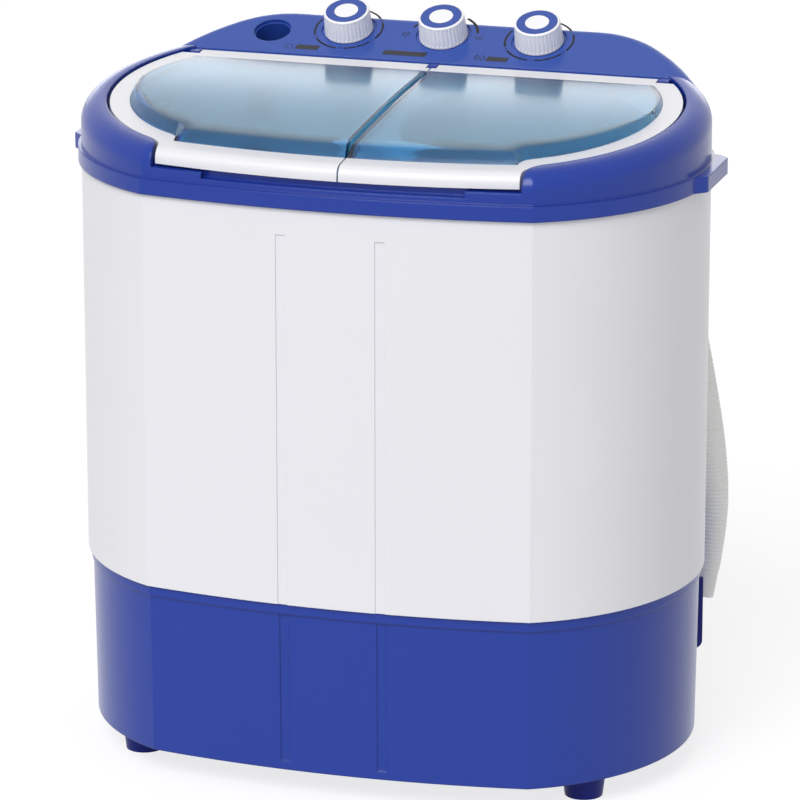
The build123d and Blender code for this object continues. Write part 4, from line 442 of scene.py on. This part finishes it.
def window_plan(ring):
    """Points and triangles in plan: the outline, rings along its rolled edge and a grid inside."""
    places, count = list(ring), len(ring)
    loops = [(step, (step + 1) % count) for step in range(count)]
    for rolls in ROLL_STEPS:
        for corner in moved_out(ring, lambda out: -roll_width(out) * rolls):
            if inside(ring, corner) and rolls_from_edge(ring, corner) > rolls * ON_RING:
                places.append(corner)
    low, high = (Vector([pick(corner[way] for corner in ring) for way in (0, 1)]) for pick in (min, max))
    for row in range(int((high.y - low.y) / GRID_STEP)):
        for column in range(int((high.x - low.x) / GRID_STEP)):
            place = low + GRID_STEP * Vector((column + 0.5, row + 0.5))
            if inside(ring, place) and rolls_from_edge(ring, place) > ROLL_STEPS[-1] + FIELD_GAP:
                places.append(place)
    plan, _, triangles, *_ = delaunay_2d_cdt(places, loops, [], 1, NEAR / 100)
    return plan, triangles


def crowned_window(name, ring):
    """Closed clear moulding over an outline, with a rim under the lid."""
    plan, triangles = window_plan(ring)
    shape = bmesh.new()
    heights = [window_heights(ring, place) for place in plan]
    for side in (0, 1):
        skin = [shape.verts.new((*place, level[side])) for place, level in zip(plan, heights)]
        for corners in triangles:
            shape.faces.new([skin[corner] for corner in corners])
    wide = moved_out(ring, lambda out: WINDOW_RIM)
    section = ((ring, 0), (ring, 1), (wide, 1), (wide, 2), (ring, 2))
    loops = [
        [shape.verts.new((*spot, lid_level(spot.y) - depth * WINDOW_THICK)) for spot in loop]
        for loop, depth in section
    ]
    for upper, lower in zip(loops, loops[1:]):
        for step in range(len(ring)):
            after = (step + 1) % len(ring)
            shape.faces.new((upper[step], lower[step], lower[after], upper[after]))
    bmesh.ops.remove_doubles(shape, verts=shape.verts, dist=NEAR / 10)
    bmesh.ops.recalc_face_normals(shape, faces=shape.faces)
    mesh = bpy.data.meshes.new(name)
    shape.to_mesh(mesh)
    shape.free()
    mesh.shade_smooth()
    mesh.set_sharp_from_angle(angle=SHARP_EDGE)
    return mesh


def plain_mesh(thing):
    """The evaluated shape of an object as a plain mesh."""
    return bpy.data.meshes.new_from_object(thing.evaluated_get(bpy.context.evaluated_depsgraph_get()))


# %% Both windows
for lid, side in (("wash_lid", -1), ("spin_lid", 1)):
    outline = window_ring(nodes[lid + "_window"], Vector((side * BED_CENTRE[0] * MM, BED_CENTRE[1] * MM)))
    mesh = crowned_window(lid + "_moulding", outline)
    mesh.materials.append(finishes["tinted_window"])
    moulding = linked(lid + "_moulding", mesh)
    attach(moulding, lid)
    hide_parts(lid + "_window")
    print(moulding.name, len(outline), "edge points,", len(mesh.polygons), "faces")

# %% [markdown]
# ## Geometry Nodes helpers
# Ribs, scale marks and screws repeat, so small Geometry Nodes trees make them. Each tree has named sizes.
# A helper hangs the tree on an object, sets the sizes, and keeps the result as a plain mesh.

# %% Geometry Nodes helpers
SOCKETS = {float: "NodeSocketFloat", int: "NodeSocketInt", str: "NodeSocketMaterial"}


def new_tree(name, **sizes):
    """A tree with a geometry in and out and one named input for each size, and its two end nodes."""
    tree = bpy.data.node_groups.new(name, "GeometryNodeTree")
    tree.interface.new_socket("Geometry", in_out="OUTPUT", socket_type="NodeSocketGeometry")
    tree.interface.new_socket("Geometry", in_out="INPUT", socket_type="NodeSocketGeometry")
    for size, kind in {**sizes, "Finish": str}.items():
        tree.interface.new_socket(size, in_out="INPUT", socket_type=SOCKETS[kind])
    ends = add(tree, "NodeGroupInput"), add(tree, "NodeGroupOutput")
    return tree, ends[0].outputs, ends[1]


def end_tree(tree, sizes, output, geometry):
    """Instances made real and given their finish, as the tree's result."""
    real = add(tree, "GeometryNodeRealizeInstances", {"Geometry": geometry}).outputs[0]
    done = add(tree, "GeometryNodeSetMaterial", {"Geometry": real, "Material": sizes["Finish"]}).outputs[0]
    tree.links.new(done, output.inputs[0])


def grown(tree, name, finish, carrier=None, **sizes):
    """The mesh that a tree makes on a carrier object, which is removed afterwards."""
    carrier = carrier or linked(name + "_carrier", bpy.data.meshes.new(name))
    modifier = carrier.modifiers.new(name, "NODES")
    modifier.node_group = tree
    for item in tree.interface.items_tree:
        if item.in_out == "INPUT" and item.name in sizes:
            modifier[item.identifier] = sizes[item.name]
        if item.name == "Finish":
            modifier[item.identifier] = finish
    bpy.context.view_layer.update()
    mesh = plain_mesh(carrier)
    mesh.name = name
    bpy.data.objects.remove(carrier)
    print(name, len(mesh.polygons), "faces")
    return mesh


# %% [markdown]
# ## Drain hose
# The hose leaves a low elbow at the back, hangs over a clip and comes down at the right with its cut end
# loose. It is a fixed length of springy corrugated tube, so its line is one smooth spline through a few
# chosen points. The ribs could be modelled rings, but a tube whose width swells and shrinks along the
# spline gives the real wavy wall, with plain cuffs at both ends. A wall thickness then opens the bore.

# %% Route of the hose
HOSE_ROUTE = (
    (-98.0, 196.5, 150.0),
    (-98.0, 196.5, 222.0),
    (-102.0, 198.0, 300.0),
    (-98.0, 197.0, 385.0),
    (-55.0, 196.5, 458.0),
    (19.0, 196.5, 500.0),
    (105.0, 196.5, 500.0),
    (179.0, 196.0, 458.0),
    (222.0, 193.0, 384.0),
    (238.0, 199.0, 300.0),
    (249.0, 205.0, 222.0),
    (250.0, 204.0, 158.0),
    (240.0, 194.0, 96.0),
)
HOSE_WALL = 1.6 * MM


def route_curve(name, route):
    """A smooth open spline with the route as its control points."""
    data = bpy.data.curves.new(name, "CURVE")
    data.dimensions = "3D"
    spline = data.splines.new("NURBS")
    spline.points.add(len(route) - 1)
    for control, place in zip(spline.points, route):
        control.co = (*(Vector(place) * MM), 1.0)
    spline.order_u = 3
    spline.use_endpoint_u = True
    spline.resolution_u = 24
    return linked(name, data)


hose_line = route_curve("hose_line", HOSE_ROUTE)
hose_path = [tuple(corner.co) for corner in plain_mesh(hose_line).vertices]
print("hose path of", len(hose_path), "points")

# %% Ribs along the hose
def ribbed_tube_tree():
    """Tube along a curve whose radius waves between two sizes, plain near both ends."""
    tree, sizes, output = new_tree(
        "ribbed_tube", Crest=float, Root=float, Pitch=float, Cuff=float, Steps=float, Sides=int
    )
    step = sums(tree, "DIVIDE", sizes["Pitch"], sizes["Steps"])
    fine = add(tree, "GeometryNodeResampleCurve", {"Curve": sizes["Geometry"], "Length": step}, mode="LENGTH")
    along = add(tree, "GeometryNodeSplineParameter").outputs["Length"]
    whole = add(tree, "GeometryNodeSplineLength").outputs["Length"]
    to_end = sums(tree, "MINIMUM", along, sums(tree, "SUBTRACT", whole, along))
    ribbed = sums(tree, "GREATER_THAN", to_end, sizes["Cuff"])
    turn = sums(tree, "MULTIPLY", sums(tree, "DIVIDE", along, sizes["Pitch"]), 2 * pi)
    wave = sums(tree, "MULTIPLY_ADD", sums(tree, "COSINE", turn), -0.5)
    wave.node.inputs[2].default_value = 0.5
    swell = sums(tree, "MULTIPLY", sums(tree, "SUBTRACT", sizes["Crest"], sizes["Root"]), wave)
    radius = sums(tree, "ADD", sizes["Root"], sums(tree, "MULTIPLY", swell, ribbed))
    section = add(tree, "GeometryNodeCurvePrimitiveCircle", {"Resolution": sizes["Sides"], "Radius": 1.0})
    tube = add(
        tree,
        "GeometryNodeCurveToMesh",
        {"Curve": fine.outputs[0], "Profile Curve": section.outputs[0], "Scale": radius},
    )
    end_tree(tree, sizes, output, tube.outputs[0])
    return tree


hose_mesh = grown(
    ribbed_tube_tree(),
    "ribbed_hose",
    finishes["hose_plastic"],
    carrier=hose_line,
    Crest=13.9 * MM,
    Root=13.1 * MM,
    Pitch=3.7 * MM,
    Cuff=26.0 * MM,
    Steps=6.0,
    Sides=20,
)
hose = linked("ribbed_hose", hose_mesh)
wall = hose.modifiers.new("wall", "SOLIDIFY")
wall.thickness = HOSE_WALL
wall.offset = -1.0
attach(hose, "machine")
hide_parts("drain_hose")

# %% [markdown]
# ## Prints on the console
# Each timer's knob has a scale printed round it in dark ink: a ring of arcs with a number in each gap but
# the top one. The selector has two arcs and two signs, a wheel and a basin, and dark bars stand where
# labels would be. A knob's own axis gives the place and the slope of its print, so it follows the frame.
# An arc swept with a flat section is a thin ribbon, and instances turned by their number fill the ring.
# The ink has a real, very small thickness, because two faces in the same place would flicker.

# %% Ink and its place on the panel
INK = (0.006, 0.007, 0.016)
INK_THICK = 0.12 * MM
ink = moulded("print_ink", INK, gloss=0.4, peel=0.1, drift=0.2)


def dial_place(joint):
    """Matrix of a knob's axis on the panel: X to the right, Y up the slope, Z out of the panel."""
    out = -Vector(joint["axis"])
    side = Vector((1, 0, 0))
    turned = Matrix((side, out.cross(side), out)).transposed().to_4x4()
    return Matrix.Translation(Vector(joint["pos_m"])) @ turned


def printed(name, stamps):
    """One print from (mesh, matrix) stamps, riding on the machine."""
    sheet = bmesh.new()
    for mesh, place in stamps:
        stamp = mesh.copy()
        stamp.transform(place)
        sheet.from_mesh(stamp)
        bpy.data.meshes.remove(stamp)
    mesh = bpy.data.meshes.new(name)
    sheet.to_mesh(mesh)
    sheet.free()
    mesh.materials.clear()
    mesh.materials.append(ink)
    piece = linked(name, mesh)
    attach(piece, "machine")
    print(name, len(mesh.polygons), "faces")


# %% Scale arcs
def arc_ring_tree():
    """Flat arcs on a circle, one after the other, clockwise from a first bearing."""
    tree, sizes, output = new_tree(
        "arc_ring", Radius=float, Width=float, Thick=float, Count=int, First=float, Step=float, Sweep=float
    )
    arc = add(
        tree,
        "GeometryNodeCurveArc",
        {"Resolution": 24, "Radius": sizes["Radius"], "Start Angle": 0.0, "Sweep Angle": sizes["Sweep"]},
    )
    section = add(
        tree,
        "GeometryNodeCurvePrimitiveQuadrilateral",
        {"Width": sizes["Width"], "Height": sizes["Thick"]},
    )
    ribbon = add(
        tree,
        "GeometryNodeCurveToMesh",
        {"Curve": arc.outputs[0], "Profile Curve": section.outputs[0], "Fill Caps": True},
    )
    places = add(tree, "GeometryNodePoints", {"Count": sizes["Count"]}).outputs[0]
    number = add(tree, "GeometryNodeInputIndex").outputs[0]
    clockwise = sums(tree, "ADD", sizes["First"], sums(tree, "MULTIPLY", number, sizes["Step"]))
    bearing = sums(tree, "SUBTRACT", sums(tree, "SUBTRACT", pi / 2, clockwise), sizes["Sweep"])
    spin = add(tree, "ShaderNodeCombineXYZ", {"Z": bearing}).outputs[0]
    turn = add(tree, "FunctionNodeEulerToRotation", {0: spin}).outputs[0]
    copies = add(
        tree,
        "GeometryNodeInstanceOnPoints",
        {"Points": places, "Instance": ribbon.outputs[0], "Rotation": turn},
    )
    end_tree(tree, sizes, output, copies.outputs[0])
    return tree


arc_rings = arc_ring_tree()


def arcs(radius, width, first, sweep, count=1, step=0):
    """Ring of flat arcs, angles in degrees clockwise from the top."""
    return grown(
        arc_rings,
        "arcs",
        ink,
        Radius=radius * MM,
        Width=width * MM,
        Thick=INK_THICK,
        Count=count,
        First=radians(first),
        Step=radians(step),
        Sweep=radians(sweep),
    )


# %% Numbers and strips
CAP_SHARE = 0.7


def digits(text, height):
    """Printed number, centred on its own place."""
    curve = bpy.data.curves.new("digits", "FONT")
    curve.body = text
    curve.size = height / CAP_SHARE
    curve.align_x = "CENTER"
    curve.align_y = "CENTER"
    curve.extrude = INK_THICK / 2
    curve.resolution_u = 4
    letter = linked("digits", curve)
    bpy.context.view_layer.update()
    mesh = plain_mesh(letter)
    bpy.data.objects.remove(letter)
    return mesh


def strip(corners):
    """Thin flat print from its corners in millimetres, anticlockwise."""
    count = len(corners)
    places = [(x * MM, y * MM, level) for level in (-INK_THICK / 2, INK_THICK / 2) for x, y in corners]
    low, high = range(count), range(count, 2 * count)
    faces = [low[::-1], high]
    for step in range(count):
        after = (step + 1) % count
        faces.append((low[step], low[after], high[after], high[step]))
    mesh = bpy.data.meshes.new("strip")
    mesh.from_pydata(places, [], faces)
    return mesh


def shifted(x, y):
    """Matrix that moves a print over the panel, in millimetres."""
    return Matrix.Translation((x * MM, y * MM, 0))


# %% Scales of the timers
SCALE_RADIUS = 31.6
SCALE_LINE = 2.0
DIGIT_HEIGHT = 3.4 * MM
ARC_STEP = 60
ARC_SWEEP = 48
ARC_COUNT = 360 // ARC_STEP

half_gap = (ARC_STEP - ARC_SWEEP) / 2
timer_ring = arcs(SCALE_RADIUS, SCALE_LINE, half_gap, ARC_SWEEP, count=ARC_COUNT, step=ARC_STEP)
for name, first in (("wash_timer", 3), ("spin_timer", 1)):
    place = dial_place(joints[name + "_turn"])
    stamps = [(timer_ring, place)]
    for count in range(1, ARC_COUNT):
        bearing = radians(count * ARC_STEP)
        spot = shifted(SCALE_RADIUS * sin(bearing), SCALE_RADIUS * cos(bearing))
        stamps.append((digits(str(first * count), DIGIT_HEIGHT), place @ spot))
    printed(name + "_scale", stamps)

# %% Scale and signs of the selector
HEAVY_LINE = 2.6
SIGN_LINE = 0.8
WHEEL_SPOT = (-35, -3)
WHEEL_RADIUS = 3.4
HUB_RADIUS = 1.2
BASIN_SPOT = (34, -1)
BASIN_SIDE = 3.5
BASIN_DEPTH = 3.0
ARROW = [(-1.4, 1), (0, -1.2), (1.4, 1)]


def upright(left, low, right, high):
    """Corners of an upright rectangle, anticlockwise."""
    return [(left, low), (right, low), (right, high), (left, high)]


selector = dial_place(joints["drain_selector_turn"])
wheel = selector @ shifted(*WHEEL_SPOT)
basin = selector @ shifted(*BASIN_SPOT)
inner, bottom = BASIN_SIDE - SIGN_LINE, SIGN_LINE - BASIN_DEPTH
basin_shapes = (
    upright(-BASIN_SIDE, -BASIN_DEPTH, BASIN_SIDE, bottom),
    upright(-BASIN_SIDE, bottom, -inner, BASIN_DEPTH),
    upright(inner, bottom, BASIN_SIDE, BASIN_DEPTH),
    ARROW,
)
stamps = [
    (arcs(SCALE_RADIUS, SCALE_LINE, first=285, sweep=45), selector),
    (arcs(SCALE_RADIUS, HEAVY_LINE, first=30, sweep=50), selector),
    (arcs(WHEEL_RADIUS, SIGN_LINE, first=0, sweep=50, count=5, step=72), wheel),
    (arcs(HUB_RADIUS, SIGN_LINE, first=0, sweep=300), wheel),
]
stamps += [(strip(corners), basin) for corners in basin_shapes]
printed("drain_selector_scale", stamps)

# %% Label bars and their signs
BAR_HEIGHT = 7.0
BAR_SLANT = 1.6
BAR_UP_SLOPE = -33.5
BARS = ((-132, -110), (-48, -7), (50, 70))
BAR_SIGN_LINE = 0.9
RING_SPOT = (-138, 0)
RING_RADIUS = 3.4
CURL_SPOT = (44, 1)
OUTER_CURL = 4.4
INNER_CURL = 1.8

middle = selector @ shifted(-joints["drain_selector_turn"]["pos_m"][0] / MM, BAR_UP_SLOPE)
ring_sign = middle @ shifted(*RING_SPOT)
curl_sign = middle @ shifted(*CURL_SPOT)
half = BAR_HEIGHT / 2
stamps = []
for left, right in BARS:
    corners = [(left, -half), (right, -half), (right + BAR_SLANT, half), (left + BAR_SLANT, half)]
    stamps.append((strip(corners), middle))
stamps += [
    (arcs(RING_RADIUS, BAR_SIGN_LINE, first=0, sweep=28, count=8, step=45), ring_sign),
    (arcs(OUTER_CURL, BAR_SIGN_LINE, first=20, sweep=140, count=2, step=180), curl_sign),
    (arcs(INNER_CURL, BAR_SIGN_LINE, first=110, sweep=140, count=2, step=180), curl_sign),
]
printed("label_bars", stamps)

# %% [markdown]
# ## Screws of the rear cover
# Six pan-head screws hold the rear cover. Their solids are plain, and a screw without its recess looks
# like a rivet. One screw is a low cone on a shank, with a cross cut out by a boolean, and instances set
# it on a grid of two by three that spans the frame's screws.

# %% Cross-recess screws
SCREW_HEAD = 4.0 * MM
SCREW_RISE = 1.6 * MM
CROWN_SHARE = 0.72
RECESS_LENGTH = 1.15
RECESS_WIDTH = 0.26
RECESS_STEP = 0.94
SHANK_SHARE = 0.5
screw_low, screw_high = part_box("cover_screws")
screw_span = screw_high - screw_low - Vector((2 * SCREW_HEAD, 0, 2 * SCREW_HEAD))


def screw_tree():
    """Cross-recess screws on a grid of places, heads towards the tree's +Z."""
    tree, sizes, output = new_tree("screws", Head=float, Rise=float, Grip=float, Across=float, Along=float)
    crown = sums(tree, "MULTIPLY", sizes["Head"], CROWN_SHARE)
    cone = add(
        tree,
        "GeometryNodeMeshCone",
        {"Vertices": 32, "Radius Top": crown, "Radius Bottom": sizes["Head"], "Depth": sizes["Rise"]},
    )
    reach = sums(tree, "MULTIPLY", sizes["Head"], RECESS_LENGTH)
    thin = sums(tree, "MULTIPLY", sizes["Head"], RECESS_WIDTH)
    lift = add(tree, "ShaderNodeCombineXYZ", {"Z": sizes["Rise"]}).outputs[0]
    head = add(tree, "GeometryNodeMeshBoolean", {"Mesh 1": cone.outputs[0]}, operation="DIFFERENCE")
    shallow = sums(tree, "MULTIPLY", sizes["Rise"], RECESS_STEP)
    for wide, narrow, tall in ((reach, thin, sizes["Rise"]), (thin, reach, shallow)):
        size = add(tree, "ShaderNodeCombineXYZ", {"X": wide, "Y": narrow, "Z": tall}).outputs[0]
        bar = add(tree, "GeometryNodeMeshCube", {"Size": size}).outputs[0]
        cut = add(tree, "GeometryNodeTransform", {"Geometry": bar, "Translation": lift}).outputs[0]
        tree.links.new(cut, head.inputs["Mesh 2"])
    girth = sums(tree, "MULTIPLY", sizes["Head"], SHANK_SHARE)
    shank = add(
        tree,
        "GeometryNodeMeshCylinder",
        {"Vertices": 16, "Radius": girth, "Depth": sizes["Grip"]},
    )
    sink = add(tree, "ShaderNodeCombineXYZ", {"Z": sums(tree, "MULTIPLY", sizes["Grip"], -0.5)}).outputs[0]
    stem = add(tree, "GeometryNodeTransform", {"Geometry": shank.outputs[0], "Translation": sink}).outputs[0]
    screw = add(tree, "GeometryNodeJoinGeometry")
    for part in (head.outputs[0], stem):
        tree.links.new(part, screw.inputs[0])
    grid = add(
        tree,
        "GeometryNodeMeshGrid",
        {"Size X": sizes["Across"], "Size Y": sizes["Along"], "Vertices X": 2, "Vertices Y": 3},
    )
    copies = add(
        tree,
        "GeometryNodeInstanceOnPoints",
        {"Points": grid.outputs[0], "Instance": screw.outputs[0]},
    )
    end_tree(tree, sizes, output, copies.outputs[0])
    return tree


screws_mesh = grown(
    screw_tree(),
    "rear_screws",
    finishes["steel"],
    Head=SCREW_HEAD,
    Rise=SCREW_RISE,
    Grip=screw_span.y - SCREW_RISE,
    Across=screw_span.x,
    Along=screw_span.z,
)
screw_middle = (screw_low + screw_high) / 2
screw_seat = Vector((screw_middle.x, screw_high.y - SCREW_RISE, screw_middle.z))
screws_mesh.transform(Matrix.Translation(screw_seat) @ Matrix.Rotation(radians(-90), 4, "X"))
screws = linked("rear_screws", screws_mesh)
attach(screws, "machine")
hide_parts("cover_screws")

# %% [markdown]
# ## Floor and light
# The machine stands in a plain white studio. One broad lamp from the front left gives the form, a weak
# low one behind gives the windows a pale sheen at their back, and the sky fills the rest, all at a level
# where a colour looks as it is written. The floor and the sky look white to the camera, to gloss and to
# clear plastic through the Light Path node, so nothing is lit harder to get a white ground, and the floor
# keeps the machine's shadow.

# %% Floor, sky and lamps
FLOOR_SIZE = 60.0
FLOOR_GLOW = 0.78
FLOOR_SHADOW = (0.28, 0.28, 0.28, 1)
FLOOR_BOUNCE = (0.75, 0.75, 0.75, 1)
SKY_LIGHT = 0.42


def seen_directly(tree):
    """Output that is 1 for the camera's own rays and for those that a gloss or a clear piece sends on."""
    path = add(tree, "ShaderNodeLightPath").outputs
    gloss = sums(tree, "MAXIMUM", path["Is Glossy Ray"], path["Is Transmission Ray"])
    return sums(tree, "MAXIMUM", path["Is Camera Ray"], gloss)


floor_finish, tree, output = blank_material("studio_floor")
plain = add(tree, "ShaderNodeBsdfDiffuse", {"Color": FLOOR_BOUNCE}).outputs[0]
shadow = add(tree, "ShaderNodeBsdfDiffuse", {"Color": FLOOR_SHADOW}).outputs[0]
glow = add(tree, "ShaderNodeEmission", {"Strength": FLOOR_GLOW}).outputs[0]
white = add(tree, "ShaderNodeAddShader", {0: shadow, 1: glow}).outputs[0]
mixed = add(tree, "ShaderNodeMixShader", {0: seen_directly(tree), 1: plain, 2: white}).outputs[0]
tree.links.new(mixed, output.inputs["Surface"])

sheet = bmesh.new()
bmesh.ops.create_grid(sheet, x_segments=1, y_segments=1, size=FLOOR_SIZE / 2)
floor_mesh = bpy.data.meshes.new("studio_floor")
sheet.to_mesh(floor_mesh)
sheet.free()
floor_mesh.materials.append(floor_finish)
linked("studio_floor", floor_mesh)

world = bpy.data.worlds.new("studio")
world.use_nodes = True
tree = world.node_tree
tree.nodes.clear()
strength = add(tree, "ShaderNodeMapRange", {0: seen_directly(tree), 3: SKY_LIGHT, 4: 1.0}).outputs[0]
sky = add(tree, "ShaderNodeBackground", {"Color": (1, 1, 1, 1), "Strength": strength}).outputs[0]
tree.links.new(sky, add(tree, "ShaderNodeOutputWorld").inputs["Surface"])
bpy.context.scene.world = world


def soft_sun(name, turn, rise, level, spread):
    """Broad even lamp from a bearing and a height in degrees. Level 1 lights a facing white fully."""
    lamp = bpy.data.lights.new(name, "SUN")
    lamp.energy = level * pi
    lamp.angle = radians(spread)
    holder = linked(name, lamp)
    flat = cos(radians(rise))
    from_lamp = Vector((sin(radians(turn)) * flat, -cos(radians(turn)) * flat, sin(radians(rise))))
    holder.rotation_euler = from_lamp.to_track_quat("Z", "Y").to_euler()


soft_sun("key_lamp", turn=-8, rise=45, level=0.64, spread=36)
soft_sun("back_lamp", turn=197, rise=1, level=0.16, spread=36)
bpy.context.scene.view_settings.view_transform = "Standard"
print("floor, sky and two lamps")
